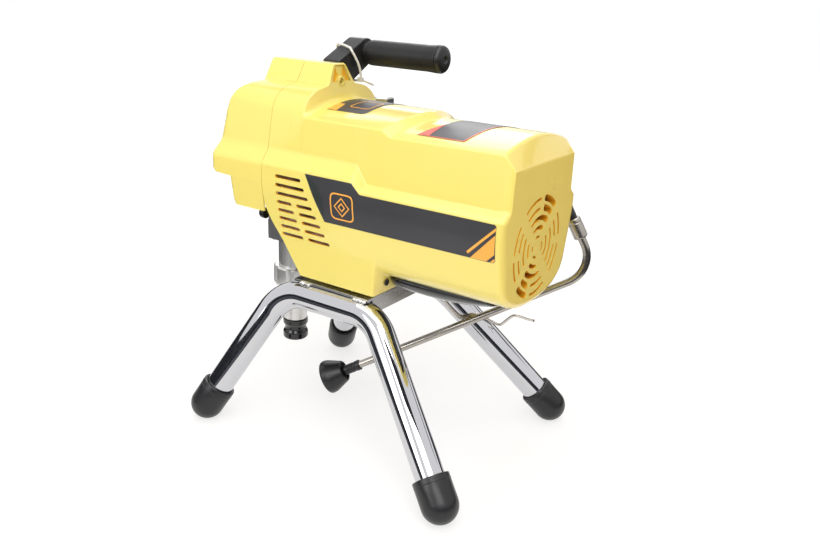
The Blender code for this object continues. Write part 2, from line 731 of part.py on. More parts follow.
def shell(name, bm, probe, material="yellow_plastic"):
    """Thicken an open skin inwards; probe is a direction that most of its faces look along."""
    bmesh.ops.recalc_face_normals(bm, faces=bm.faces)
    if sum(face.normal.dot(Vector(probe)) * face.calc_area() for face in bm.faces) < 0.0:
        bmesh.ops.reverse_faces(bm, faces=bm.faces)
    obj = new_object(name, bm, material)
    solid = obj.modifiers.new("wall", "SOLIDIFY")
    solid.thickness = WALL * MM
    solid.offset = -1.0
    solid.use_even_offset = True
    solid.use_quality_normals = True
    return obj


def build_motor_shroud():
    bm = bmesh.new()
    rings = [full_ring(bm, half) for half in shroud_stations()]
    count = len(rings[0])
    for first, second in zip(rings, rings[1:]):
        for i in range(count):
            j = (i + 1) % count
            bm.faces.new((first[i], first[j], second[j], second[i]))
    bm.faces.new(rings[-1])
    shroud = shell("motor_shroud", bm, (0.0, 1.0, 0.0))
    boolean(shroud, handle_pocket_block(), "UNION")
    for cutter in (vent_cutters(), grille_cutters(), opening_cutters(), handle_slot(),
                   handle_pocket()):
        boolean(shroud, cutter)


def handle_pocket_block():
    """Solid backing, inside the tower's rear wall, that the ribbed pocket is sunk into."""
    return prism(((-9.0, SHOULDER_Z - 3.0), (9.0, SHOULDER_Z - 3.0), (7.0, TOWER_TOP_Z - 1.5),
                  (-7.0, TOWER_TOP_Z - 1.5)), "y", ARCH_END_Y - 13.0, ARCH_END_Y - 2.0)


def handle_pocket():
    """Two triangular recesses and a screw hole in the tower's rear wall."""
    low = ARCH_END_Y - 9.0
    high = ARCH_END_Y + 3.0
    cuts = [prism(((side * 12.5, SHOULDER_Z + 2.0), (side * 6.5, SHOULDER_Z + 2.0),
                   (side * 2.6, TOWER_TOP_Z - 8.0), (side * 7.0, TOWER_TOP_Z - 5.0)),
                  "y", low, high) for side in (1, -1)]
    cuts.append(drum(2.4, low - 5.0, high, "y", (0.0, 0.0, SHOULDER_Z + 3.5), 12))
    return joined(*cuts)


def handle_slot():
    """Where the handle's arm leaves through the tower's far side."""
    return prism(arm_outline(ARM_CLEARANCE), "y", ARM_FRONT_Y - ARM_CLEARANCE,
                 ARM_REAR_Y + ARM_CLEARANCE)


def vent_cutters():
    reach = LEDGE_X + 10.0
    half = VENT_HEIGHT / 2.0
    return joined(*(box((-reach, front, z - half), (reach, rear, z + half))
                    for z, front, rear in VENT_SLOTS))


def arc_slot(radius, start, end, first_width, last_width):
    """A curved slot with round ends through the rear face."""
    turn = math.radians(end - start)
    steps = max(2, math.ceil((end - start) * radius / 560.0))
    outer, inner = [], []
    for k in range(steps + 1):
        angle = math.radians(start) + turn * k / steps
        half = (first_width + (last_width - first_width) * k / steps) / 2.0
        outer.append((angle, radius + half))
        inner.append((angle, radius - half))
    tips = [(math.radians(end), last_width, 1.0), (math.radians(start), first_width, -1.0)]
    rounds = [[(angle + way * width * 0.4 / radius, radius)] for angle, width, way in tips]
    points = [(GRILLE_X + r * math.cos(a), GRILLE_Z + r * math.sin(a))
              for a, r in outer + rounds[0] + inner[::-1] + rounds[1]]
    return prism(points, "y", REAR_FACE_Y - WALL - 3.0, REAR_FACE_Y + 3.0)


def grille_cutters():
    """Broken concentric arcs, the widest ones upper right and lower left of the fan's centre."""
    return joined(*(arc_slot(*arc) for arc in GRILLE_ARCS))


def opening_cutters():
    """Openings for the gearbox foot, the belly pan, the manifold's neck and the wiring."""
    neck = NECK_RADIUS + 1.0
    return joined(
        box((-FOOT_NECK_HALF_WIDTH - 4.0, FOOT_PAD_FRONT_Y - 20.0, KEEL_BOTTOM_Z - 5.0),
            (FOOT_NECK_HALF_WIDTH + 4.0, FOOT_PAD_REAR_Y + 2.0, KEEL_BOTTOM_Z + 5.0)),
        box((-PAN_HALF_WIDTH - GAP, PAN_FRONT_Y - GAP, BELLY_POINTS[3][1] - 5.0),
            (PAN_HALF_WIDTH + GAP, PAN_REAR_Y + GAP, PAN_RIM_Z + 2.0)),
        drum(neck, -LEDGE_X - 10.0, -KEEL_X + 5.0, "x", (0.0, MANIFOLD_Y, MANIFOLD_Z), 20),
        box((-LEDGE_X - 5.0, 30.0, 268.0), (-KEEL_X, 60.0, 286.0)))


PAN_HALF_WIDTH = 45.0          # gloss black lower cover under the motor
PAN_FRONT_Y = 38.0
PAN_REAR_Y = 160.0
PAN_RIM_Z = 209.6
PAN_DEPTH = 24.5
PAN_DEEPEST_Y = 72.0
PAN_HALF_LENGTH = 98.0
PAN_WALL = 2.0


def build_belly_pan():
    bm = bmesh.new()
    rows = []
    for k in range(9):
        y = PAN_FRONT_Y + (PAN_REAR_Y - PAN_FRONT_Y) * k / 8.0
        reach = (y - PAN_DEEPEST_Y) / PAN_HALF_LENGTH
        depth = PAN_DEPTH * math.sqrt(max(0.0, 1.0 - reach * reach))
        row = []
        for i in range(13):
            angle = math.pi * i / 12.0
            row.append(bm.verts.new((PAN_HALF_WIDTH * math.cos(angle), y,
                                     PAN_RIM_Z - depth * math.sin(angle))))
        rows.append(row)
    for first, second in zip(rows, rows[1:]):
        for i in range(12):
            bm.faces.new((first[i], first[i + 1], second[i + 1], second[i]))
    pan = shell("belly_pan", bm, (0.0, 0.0, -1.0), "gloss_black")
    pan.modifiers["wall"].thickness = PAN_WALL * MM


def nose_y(z):
    """Front face of the front cover at a height."""
    for (z_high, y_high), (z_low, y_low) in zip(NOSE_POINTS, NOSE_POINTS[1:]):
        if z >= z_low:
            share = min(1.0, max(0.0, (z - z_low) / (z_high - z_low)))
            return y_low + (y_high - y_low) * share
    return NOSE_POINTS[-1][1]


def build_front_cover():
    step = 0.5
    side = [(INSET_X, INSET_FRONT_Z), (LEDGE_X, LEDGE_FRONT_Z), (LEDGE_X, 299.0),
            (LEDGE_X, BULGE_BOTTOM_Z + step), (LEDGE_X, BULGE_BOTTOM_Z - step),
            (SIDE_POINTS[1][0] + 1.0, SIDE_POINTS[1][1]), (SIDE_POINTS[1][0], COVER_BOTTOM_Z)]
    section = list(FRONT_ROOF) + side
    rows = [[(x, SEAM_Y - 2.0 * GAP, z) for x, z in arch_roof() + side]]
    for turn, back in ((0.0, 1.0), (0.3, 0.3), (1.0, 0.0)):
        row = []
        for x, z in section:
            corner = TOWER_CORNER if z > SHOULDER_Z else NOSE_CORNER
            drop = corner * turn * 0.5 if z >= ARCH_RIDGE_Z else 0.0
            row.append((x * (1.0 - corner * turn / LEDGE_X), nose_y(z) + corner * back, z - drop))
        rows.append(row)
    bm = bmesh.new()
    rings = []
    for row in rows:
        right = [bm.verts.new(point) for point in row]
        left = [bm.verts.new((-x, y, z)) for x, y, z in row[1:]]
        rings.append((right, [right[0], *left]))
    count = len(section)
    for (right_a, left_a), (right_b, left_b) in zip(rings, rings[1:]):
        for i in range(count - 1):
            bm.faces.new((right_a[i], right_a[i + 1], right_b[i + 1], right_b[i]))
            bm.faces.new((left_a[i], left_a[i + 1], left_b[i + 1], left_b[i]))
    right, left = rings[-1]
    bm.faces.new((right[0], right[1], left[1]))
    for i in range(1, count - 1):
        bm.faces.new((left[i], right[i], right[i + 1], left[i + 1]))
    shell("front_cover", bm, (0.0, -1.0, 0.0))


# ---------------------------------------------------------------- castings and motor

def housing_outline(inset):
    wide = HOUSING_HALF_WIDTH - inset
    top = HOUSING_TOP_Z - inset
    narrow = HOUSING_TOP_HALF_WIDTH - inset * 0.4
    low = HOUSING_BOTTOM_Z + inset
    return ((-wide, low), (wide, low), (wide, HOUSING_SHOULDER_Z), (narrow, top), (-narrow, top),
            (-wide, HOUSING_SHOULDER_Z))


def gear_centres():
    """Axis positions (x, z) of the crank gear, the idler and the motor pinion."""
    low = (PINION_TEETH + WHEEL_TEETH) * FIRST_MODULE / 2.0
    high = (SECOND_PINION_TEETH + CRANK_GEAR_TEETH) * SECOND_MODULE / 2.0
    span = CRANK_Z - MOTOR_Z
    drop = (high * high - low * low + span * span) / (2.0 * span)
    return (0.0, CRANK_Z), (math.sqrt(high * high - drop * drop), CRANK_Z - drop), (0.0, MOTOR_Z)


def build_castings():
    _, idler, _ = gear_centres()
    housing = new_object("drive_housing", prism(housing_outline(0.0), "y", HOUSING_FRONT_Y,
                                                HOUSING_REAR_Y), "grey_casting")
    plate_top = LEG_TOP_Z + LEG_RADIUS + PLATE_THICKNESS + 2.0 * GAP
    pad_top = KEEL_BOTTOM_Z - GAP
    neck_top = HOUSING_BOTTOM_Z + 1.0
    boolean(housing, prism(((-FOOT_PAD_HALF_WIDTH, plate_top), (FOOT_PAD_HALF_WIDTH, plate_top),
                            (FOOT_PAD_HALF_WIDTH, pad_top), (FOOT_NECK_HALF_WIDTH, pad_top),
                            (FOOT_NECK_HALF_WIDTH, neck_top), (-FOOT_NECK_HALF_WIDTH, neck_top),
                            (-FOOT_NECK_HALF_WIDTH, pad_top), (-FOOT_PAD_HALF_WIDTH, pad_top)),
                           "y", FOOT_PAD_FRONT_Y, HOUSING_REAR_Y - 1.0), "UNION")
    boolean(housing, box((-ARM_ROOT_HALF_WIDTH, ARM_FRONT_Y, HOUSING_TOP_Z - 1.0),
                         (ARM_ROOT_HALF_WIDTH, ARM_REAR_Y, ARM_ROOT_Z - GAP)), "UNION")
    cavity_front = HOUSING_FRONT_Y + HOUSING_FRONT_WALL
    boolean(housing, prism(housing_outline(HOUSING_WALL), "y", cavity_front,
                           HOUSING_REAR_Y + 1.0))
    crank = (0.0, 0.0, CRANK_Z)
    boolean(housing, drum(JOURNAL_RADIUS + 2.0, HOUSING_FRONT_Y - 1.0, cavity_front + 1.0, "y",
                          crank, 24))
    boolean(housing, drum(SHAFT_RADIUS + RUNNING_GAP, cavity_front - 8.0, cavity_front + 1.0, "y",
                          (idler[0], 0.0, idler[1]), 20))

    cover_front = HOUSING_REAR_Y + GAP
    cover_rear = MOTOR_FRONT_Y - GAP
    bell = new_object("gearbox_cover", prism(housing_outline(0.0), "y", cover_front, cover_rear),
                      "grey_casting")
    through = (cover_front - 1.0, cover_rear + 1.0)
    boolean(bell, joined(
        drum(SHAFT_RADIUS + RUNNING_GAP, *through, "y", (0.0, 0.0, MOTOR_Z), 20),
        drum(SHAFT_RADIUS + RUNNING_GAP, cover_front - 1.0, cover_front + 4.0, "y",
             (idler[0], 0.0, idler[1]), 20),
        drum(CRANK_BEARING_RADIUS + GAP, cover_front - 1.0, cover_front + 5.0, "y", crank, 24)))

    build_yoke()


CRANK_BEARING_RADIUS = 17.0


def build_yoke():
    """Front casting: holds the crank's front bearing and, on its shelf, the pump."""
    rear = HOUSING_FRONT_Y - GAP
    front = rear - YOKE_PLATE
    half = YOKE_HALF_WIDTH
    top = CRANK_Z + 30.0
    plate = ((-half, YOKE_BOTTOM_Z), (half, YOKE_BOTTOM_Z), (half, top - 14.0), (half - 14.0, top),
             (-half + 14.0, top), (-half, top - 14.0))
    yoke = new_object("pump_yoke", prism(plate, "y", front, rear), "grey_casting")
    shelf_top = YOKE_BOTTOM_Z + YOKE_SHELF
    nose = 12.0
    shelf = ((-half, front + 1.0), (half, front + 1.0), (half, YOKE_FRONT_Y + nose),
             (half - nose, YOKE_FRONT_Y), (-half + nose, YOKE_FRONT_Y),
             (-half, YOKE_FRONT_Y + nose))
    boolean(yoke, prism(shelf, "z", YOKE_BOTTOM_Z - 2.0, shelf_top), "UNION")
    web = 4.0
    for side in (1, -1):
        outer = side * (half - 0.5)
        inner = side * (half - web)
        slope = ((front + 1.0, shelf_top - 1.0), (YOKE_FRONT_Y + nose, shelf_top - 1.0),
                 (YOKE_FRONT_Y + nose, shelf_top + 8.0), (front + 1.0, shelf_top + 40.0))
        boolean(yoke, prism(slope, "x", min(outer, inner), max(outer, inner)), "UNION")
    boolean(yoke, drum(CYLINDER_RADIUS + GAP, YOKE_BOTTOM_Z - 5.0, shelf_top + 1.0, "z",
                       (0.0, PUMP_Y, 0.0), 32))
    boolean(yoke, drum(CRANK_BEARING_RADIUS + GAP, front - 1.0, rear + 1.0, "y",
                       (0.0, 0.0, CRANK_Z), 24))
    bearing = drum(CRANK_BEARING_RADIUS, front + 1.0, rear - 1.0, "y", (0.0, 0.0, CRANK_Z), 24,
                   JOURNAL_RADIUS + RUNNING_GAP)
    new_object("crank_front_bearing", bearing, "steel")
    rear_low = HOUSING_REAR_Y - 8.0
    rear_ring = drum(CRANK_BEARING_RADIUS, rear_low, HOUSING_REAR_Y + 5.0, "y",
                     (0.0, 0.0, CRANK_Z), 24, JOURNAL_RADIUS + RUNNING_GAP)
    new_object("crank_rear_bearing", rear_ring, "steel")


def build_motor():
    axis = (0.0, 0.0, MOTOR_Z)
    inner = MOTOR_RADIUS - MOTOR_WALL
    can = lathe([(inner, MOTOR_FRONT_Y), (MOTOR_RADIUS, MOTOR_FRONT_Y),
                 (MOTOR_RADIUS, MOTOR_REAR_Y - 6.0), (MOTOR_RADIUS - 6.0, MOTOR_REAR_Y),
                 (SHAFT_RADIUS + RUNNING_GAP, MOTOR_REAR_Y),
                 (SHAFT_RADIUS + RUNNING_GAP, MOTOR_REAR_Y - 8.0), (inner, MOTOR_REAR_Y - 8.0)],
                "y", axis, 36, ring=True)
    new_object("motor_can", can, "black_paint")
    new_object("stator_winding", drum(inner - GAP, -8.0, 98.0, "y", axis, 36, ROTOR_RADIUS + 1.0),
               "copper")
    pinion_root = PINION_TEETH * FIRST_MODULE / 2.0 - 1.25 * FIRST_MODULE
    seat = pinion_root - 1.7
    rotor = lathe([(0.0, FIRST_GEAR_Y - 2.0), (seat, FIRST_GEAR_Y - 2.0),
                   (seat, FIRST_GEAR_Y + FIRST_GEAR_WIDTH + 1.5),
                   (SHAFT_RADIUS, FIRST_GEAR_Y + FIRST_GEAR_WIDTH + 1.5), (SHAFT_RADIUS, -4.0),
                   (ROTOR_RADIUS, -4.0), (ROTOR_RADIUS, 94.0), (SHAFT_RADIUS, 94.0),
                   (SHAFT_RADIUS, FAN_Y + FAN_WIDTH + 3.0), (0.0, FAN_Y + FAN_WIDTH + 3.0)],
                  "y", axis, 24)
    new_object("rotor_shaft", rotor, "steel", axis)

    crank, idler, motor = gear_centres()
    towards_motor = math.atan2(motor[1] - idler[1], motor[0] - idler[0])
    towards_crank = math.atan2(crank[1] - idler[1], crank[0] - idler[0])
    new_object("motor_pinion", gear(PINION_TEETH, FIRST_MODULE, motor, FIRST_GEAR_Y,
                                    FIRST_GEAR_WIDTH,
                                    towards_motor + math.pi + math.pi / PINION_TEETH,
                                    seat + RUNNING_GAP), "steel", axis)
    idler_axis = (idler[0], 0.0, idler[1])
    new_object("idler_gear", gear(WHEEL_TEETH, FIRST_MODULE, idler, FIRST_GEAR_Y + 0.5,
                                  FIRST_GEAR_WIDTH - 1.0, towards_motor,
                                  SHAFT_RADIUS + RUNNING_GAP), "steel", idler_axis)
    new_object("idler_pinion", gear(SECOND_PINION_TEETH, SECOND_MODULE, idler,
                                    SECOND_GEAR_Y - 0.5, SECOND_GEAR_WIDTH + 1.0, towards_crank,
                                    SHAFT_RADIUS + RUNNING_GAP), "steel", idler_axis)
    shaft_low = HOUSING_FRONT_Y + HOUSING_FRONT_WALL - 7.0
    idler_shaft = drum(SHAFT_RADIUS, shaft_low, HOUSING_REAR_Y + 3.5, "y", idler_axis, 20)
    new_object("idler_shaft", idler_shaft, "steel", idler_axis)
    new_object("crank_gear", gear(CRANK_GEAR_TEETH, SECOND_MODULE, crank, SECOND_GEAR_Y,
                                  SECOND_GEAR_WIDTH,
                                  towards_crank + math.pi + math.pi / CRANK_GEAR_TEETH,
                                  JOURNAL_RADIUS + RUNNING_GAP), "steel", (0.0, 0.0, CRANK_Z))
    build_fan(axis)


def build_fan(axis):
    bm = bmesh.new()
    layers = []
    for step in range(3):
        share = step / 2.0
        row = []
        for blade in range(FAN_BLADES):
            centre = 2.0 * math.pi * blade / FAN_BLADES + math.radians(28.0) * share
            for radius, spread in ((13.0, -0.36), (FAN_RADIUS, -0.12), (FAN_RADIUS, 0.12),
                                   (13.0, 0.36)):
                angle = centre + spread
                row.append(bm.verts.new((radius * math.cos(angle), FAN_Y + FAN_WIDTH * share,
                                         MOTOR_Z + radius * math.sin(angle))))
        layers.append(row)
    count = len(layers[0])
    for first, second in zip(layers, layers[1:]):
        for i in range(count):
            j = (i + 1) % count
            bm.faces.new((first[i], first[j], second[j], second[i]))
    bm.faces.new(layers[0])
    bm.faces.new(layers[-1])
    fan = new_object("cooling_fan", close(bm), "black_plastic", axis)
    boolean(fan, drum(SHAFT_RADIUS + RUNNING_GAP, FAN_Y - 1.0, FAN_Y + FAN_WIDTH + 1.0, "y",
                      axis, 16))


# ---------------------------------------------------------------- crank and pump

def build_crank():
    axis = (0.0, 0.0, CRANK_Z)
    pin_z = CRANK_Z - CRANK_THROW
    disc_rear = HOUSING_FRONT_Y - GAP - YOKE_PLATE - 0.5
    disc_front = disc_rear - 6.0
    shaft = lathe([(0.0, disc_front), (BIG_END_RADIUS + 6.0, disc_front),
                   (BIG_END_RADIUS + 6.0, disc_rear), (JOURNAL_RADIUS, disc_rear),
                   (JOURNAL_RADIUS, HOUSING_REAR_Y + 4.0), (0.0, HOUSING_REAR_Y + 4.0)],
                  "y", axis, 24)
    crankshaft = new_object("crankshaft", shaft, "steel", axis)
    pin_front = PUMP_Y - BIG_END_WIDTH / 2.0 - 1.5
    boolean(crankshaft, drum(CRANK_PIN_RADIUS, pin_front, disc_front + 1.0, "y",
                             (0.0, 0.0, pin_z), 20), "UNION")

    wrist_z = pin_z - ROD_LENGTH
    rod_axis = (0.0, 0.0, pin_z)
    half = ROD_THICKNESS / 2.0
    outline = []
    for k in range(13):
        angle = math.radians(-20.0 + 220.0 * k / 12.0)
        outline.append((BIG_END_RADIUS * math.cos(angle), pin_z + BIG_END_RADIUS * math.sin(angle)))
    for k in range(9):
        angle = math.radians(180.0 + 180.0 * k / 8.0)
        outline.append((SMALL_END_RADIUS * math.cos(angle),
                        wrist_z + SMALL_END_RADIUS * math.sin(angle)))
    rod = new_object("connecting_rod", prism(outline, "y", PUMP_Y - half, PUMP_Y + half),
                     "steel", rod_axis)
    boolean(rod, drum(BIG_END_RADIUS + 0.5, PUMP_Y - BIG_END_WIDTH / 2.0 + 0.6,
                      PUMP_Y + BIG_END_WIDTH / 2.0 - 0.6, "y", rod_axis, 24), "UNION")
    boolean(rod, drum(CRANK_PIN_RADIUS + RUNNING_GAP, PUMP_Y - 10.0, PUMP_Y + 10.0, "y",
                      rod_axis, 20))
    boolean(rod, drum(WRIST_RADIUS + RUNNING_GAP, PUMP_Y - 10.0, PUMP_Y + 10.0, "y",
                      (0.0, 0.0, wrist_z), 16))
    new_object("wrist_pin", drum(WRIST_RADIUS, PUMP_Y - half, PUMP_Y + half, "y",
                                 (0.0, 0.0, wrist_z), 16), "steel", rod_axis)
    return wrist_z


def build_pump(wrist_z):
    axis = (0.0, PUMP_Y, 0.0)
    stroke = 2.0 * CRANK_THROW
    slot_floor = wrist_z - SMALL_END_RADIUS - stroke - 1.5
    base = slot_floor - CLEVIS_BASE
    head_top = PISTON_BOTTOM_Z + 18.0
    clevis_top = wrist_z + 6.0
    piston = lathe([(OUTLET_BALL_RADIUS - 1.5, PISTON_BOTTOM_Z), (PISTON_HEAD_RADIUS, PISTON_BOTTOM_Z),
                    (PISTON_HEAD_RADIUS, head_top), (PISTON_RADIUS, head_top),
                    (PISTON_RADIUS, base), (CLEVIS_HALF_WIDTH, base),
                    (CLEVIS_HALF_WIDTH, clevis_top), (0.0, clevis_top), (0.0, head_top),
                    (OUTLET_BALL_RADIUS + 0.6, head_top - 1.0),
                    (OUTLET_BALL_RADIUS + 0.6, PISTON_BOTTOM_Z + 5.5)],
                   "z", axis, 24, ring=True)
    rod = new_object("piston_rod", piston, "steel", axis)
    half_slot = ROD_THICKNESS / 2.0 + GAP
    reach = CLEVIS_HALF_WIDTH + 2.0
    boolean(rod, box((-reach, PUMP_Y - half_slot, slot_floor),
                     (reach, PUMP_Y + half_slot, clevis_top + 1.0)))
    boolean(rod, drum(2.5, -PISTON_HEAD_RADIUS - 2.0, PISTON_HEAD_RADIUS + 2.0, "x",
                      (0.0, PUMP_Y, head_top - 4.0), 12))
    ball_z = PISTON_BOTTOM_Z + OUTLET_BALL_RADIUS * 1.25
    new_object("outlet_ball", ball(OUTLET_BALL_RADIUS, (0.0, PUMP_Y, ball_z)), "steel",
               (0.0, PUMP_Y, ball_z))

    cylinder_bottom = JAM_NUT_BOTTOM_Z + GAP
    gland_bottom = CYLINDER_TOP_Z - 24.0
    gland_bore = PISTON_HEAD_RADIUS + 2.5
    cylinder = lathe([(CYLINDER_BORE, cylinder_bottom), (CYLINDER_RADIUS, cylinder_bottom),
                      (CYLINDER_RADIUS, CYLINDER_TOP_Z), (gland_bore, CYLINDER_TOP_Z),
                      (gland_bore, gland_bottom), (CYLINDER_BORE, gland_bottom)],
                     "z", axis, 32, ring=True)
    new_object("pump_cylinder", cylinder, "chrome", axis)
    new_object("throat_packing", drum(gland_bore - GAP, gland_bottom + GAP, CYLINDER_TOP_Z - 6.0,
                                      "z", axis, 24, PISTON_RADIUS + RUNNING_GAP),
               "white_nylon", axis)
    nut = lathe([(PISTON_RADIUS + 0.4, CYLINDER_TOP_Z - 5.5), (gland_bore - GAP, CYLINDER_TOP_Z - 5.5),
                 (gland_bore - GAP, CYLINDER_TOP_Z + GAP), (CYLINDER_RADIUS - 2.0, CYLINDER_TOP_Z + GAP),
                 (CYLINDER_RADIUS - 2.0, CYLINDER_TOP_Z + 2.4),
                 (PISTON_RADIUS + 0.4, CYLINDER_TOP_Z + 2.4)],
                "z", axis, 24, ring=True)
    new_object("packing_nut", nut, "brass", axis)
    new_object("piston_seal", drum(CYLINDER_BORE - 0.1, PISTON_BOTTOM_Z - 4.0,
                                   PISTON_BOTTOM_Z - GAP, "z", axis, 24, 6.0),
               "white_nylon", axis)
    build_jam_nut(axis)
    build_foot_valve(axis)


def ball(radius, centre):
    profile = [(0.0 if k in (0, 8) else radius * math.sin(math.pi * k / 8.0),
                -radius * math.cos(math.pi * k / 8.0)) for k in range(9)]
    return lathe(profile, "z", centre, 16)


def build_jam_nut(axis):
    bottom = JAM_NUT_BOTTOM_Z
    top = bottom + JAM_NUT_HEIGHT
    bore = CYLINDER_RADIUS + GAP
    nut = new_object("jam_nut", lathe([(bore, bottom), (JAM_NUT_RADIUS - 5.0, bottom),
                                       (JAM_NUT_RADIUS, bottom + 8.0), (JAM_NUT_RADIUS, top - 1.5),
                                       (JAM_NUT_RADIUS - 1.5, top), (bore, top)],
                                      "z", axis, 40, ring=True), "steel", axis)
    notches = []
    for k in range(JAM_NUT_NOTCHES):
        angle = 2.0 * math.pi * (k + 0.5) / JAM_NUT_NOTCHES
        notches.append(drum(4.0, bottom - 1.0, top + 1.0, "z",
                            ((JAM_NUT_RADIUS + 1.6) * math.cos(angle),
                             PUMP_Y + (JAM_NUT_RADIUS + 1.6) * math.sin(angle), 0.0), 10))
    boolean(nut, joined(*notches))


def build_foot_valve(axis):
    seat_z = FOOT_VALVE_SHOULDER_Z + 22.0
    chamber = BALL_RADIUS + 1.2
    valve = lathe([(5.0, NIPPLE_BOTTOM_Z), (NIPPLE_RADIUS, NIPPLE_BOTTOM_Z),
                   (NIPPLE_RADIUS, FOOT_VALVE_SHOULDER_Z), (FOOT_VALVE_RADIUS, FOOT_VALVE_SHOULDER_Z),
                   (FOOT_VALVE_RADIUS, JAM_NUT_BOTTOM_Z - 6.0),
                   (FOOT_VALVE_RADIUS + 3.0, JAM_NUT_BOTTOM_Z - 2.0),
                   (FOOT_VALVE_RADIUS + 3.0, JAM_NUT_BOTTOM_Z), (chamber, JAM_NUT_BOTTOM_Z),
                   (chamber, seat_z + 3.0), (5.0, seat_z)],
                  "z", axis, 32, ring=True)
    new_object("foot_valve", valve, "steel", axis)
    ball_z = seat_z + BALL_RADIUS * 0.73
    new_object("inlet_ball", ball(BALL_RADIUS, (0.0, PUMP_Y, ball_z)), "steel",
               (0.0, PUMP_Y, ball_z))
    bore = NIPPLE_RADIUS + GAP
    cap = lathe([(0.0, CAP_BOTTOM_Z), (CAP_RADIUS - 1.5, CAP_BOTTOM_Z),
                 (CAP_RADIUS, CAP_BOTTOM_Z + 2.0), (CAP_RADIUS, CAP_BOTTOM_Z + 10.0),
                 (CAP_WAIST, CAP_BOTTOM_Z + 14.0), (CAP_WAIST, CAP_BOTTOM_Z + 18.0),
                 (CAP_RADIUS, CAP_BOTTOM_Z + 22.0), (CAP_RADIUS, CAP_TOP_Z), (bore, CAP_TOP_Z),
                 (bore, NIPPLE_BOTTOM_Z - GAP), (0.0, NIPPLE_BOTTOM_Z - GAP)], "z", axis, 24)
    new_object("inlet_cap", cap, "black_rubber", axis)


# ---------------------------------------------------------------- manifold and controls

def build_manifold():
    centre = (MANIFOLD_X, MANIFOLD_Y, MANIFOLD_Z)
    low = [c - h for c, h in zip(centre, MANIFOLD_HALF)]
    high = [c + h for c, h in zip(centre, MANIFOLD_HALF)]
    block = new_object("manifold_block", box(low, high), "aluminium")
    boolean(block, drum(NECK_RADIUS, high[0] - 1.0, -HOUSING_HALF_WIDTH - GAP, "x",
                        (0.0, MANIFOLD_Y, MANIFOLD_Z), 24), "UNION")

    post = (MANIFOLD_X, MANIFOLD_Y, 0.0)
    start = high[2] + GAP
    bore = FILTER_RADIUS - FILTER_WALL
    bowl = lathe([(0.0, start), (FILTER_RADIUS, start), (FILTER_RADIUS, FILTER_TOP_Z),
                  (bore, FILTER_TOP_Z), (bore, start + 4.0), (0.0, start + 4.0)], "z", post, 28)
    new_object("filter_bowl", bowl, "aluminium")
    new_object("filter_element", drum(bore - 1.5, start + 4.0 + GAP, FILTER_TOP_Z - 4.0, "z",
                                      post, 20, bore - 5.0), "red_plastic")
    cap_low = FILTER_TOP_Z + GAP
    cap_high = cap_low + FILTER_CAP_HEIGHT
    cap = lathe([(0.0, cap_low), (FILTER_CAP_RADIUS + 2.0, cap_low),
                 (FILTER_CAP_RADIUS + 2.0, cap_low + 5.0), (FILTER_CAP_RADIUS, cap_low + 7.0),
                 (FILTER_CAP_RADIUS, cap_high - 2.0), (FILTER_CAP_RADIUS - 2.0, cap_high),
                 (0.0, cap_high)], "z", post, 6)
    new_object("filter_cap", cap, "steel", (MANIFOLD_X, MANIFOLD_Y, cap_low))

    outlet = lathe([(4.0, low[2] - 32.0), (7.0, low[2] - 32.0), (7.0, low[2] - 16.0),
                    (10.5, low[2] - 16.0), (10.5, low[2] - GAP), (4.0, low[2] - GAP)],
                   "z", post, 20, ring=True)
    new_object("hose_outlet", outlet, "steel")
    sensor = lathe([(0.0, low[1] - 30.0), (6.0, low[1] - 30.0), (6.0, low[1] - 18.0),
                    (10.0, low[1] - 16.0), (10.0, low[1] - GAP), (0.0, low[1] - GAP)],
                   "y", (MANIFOLD_X, 0.0, MANIFOLD_Z), 20)
    new_object("pressure_sensor", sensor, "steel")
    hose_start = HOSE_POINTS[0]
    barb = lathe([(2.2, high[1] + GAP), (6.5, high[1] + GAP), (6.5, high[1] + 8.0),
                  (4.6, high[1] + 10.0), (4.6, hose_start[1] - GAP), (2.2, hose_start[1] - GAP)],
                 "y", (hose_start[0], 0.0, hose_start[2]), 16, ring=True)
    new_object("drain_fitting", barb, "brass")

    valve_end = low[0] - VALVE_LENGTH
    valve = lathe([(0.0, low[0] - GAP), (VALVE_RADIUS + 3.0, low[0] - GAP),
                   (VALVE_RADIUS + 3.0, low[0] - 6.0), (VALVE_RADIUS, low[0] - 8.0),
                   (VALVE_RADIUS, valve_end), (0.0, valve_end)], "x",
                  (0.0, MANIFOLD_Y, MANIFOLD_Z), 20)
    new_object("prime_valve", valve, "brass")
    hub = (MANIFOLD_Y, MANIFOLD_Z)
    radius = VALVE_RADIUS + 2.0
    lever_end = hub[0] + LEVER_LENGTH
    outline = [(hub[0] + radius * math.cos(math.radians(35.0 + 290.0 * k / 14.0)),
                hub[1] + radius * math.sin(math.radians(35.0 + 290.0 * k / 14.0)))
               for k in range(15)]
    outline += [(lever_end, hub[1] - 5.0), (lever_end + 3.0, hub[1]), (lever_end, hub[1] + 5.0)]
    lever = prism(outline, "x", valve_end - GAP - LEVER_THICKNESS, valve_end - GAP)
    new_object("prime_lever", lever, "red_plastic", (valve_end, MANIFOLD_Y, MANIFOLD_Z))


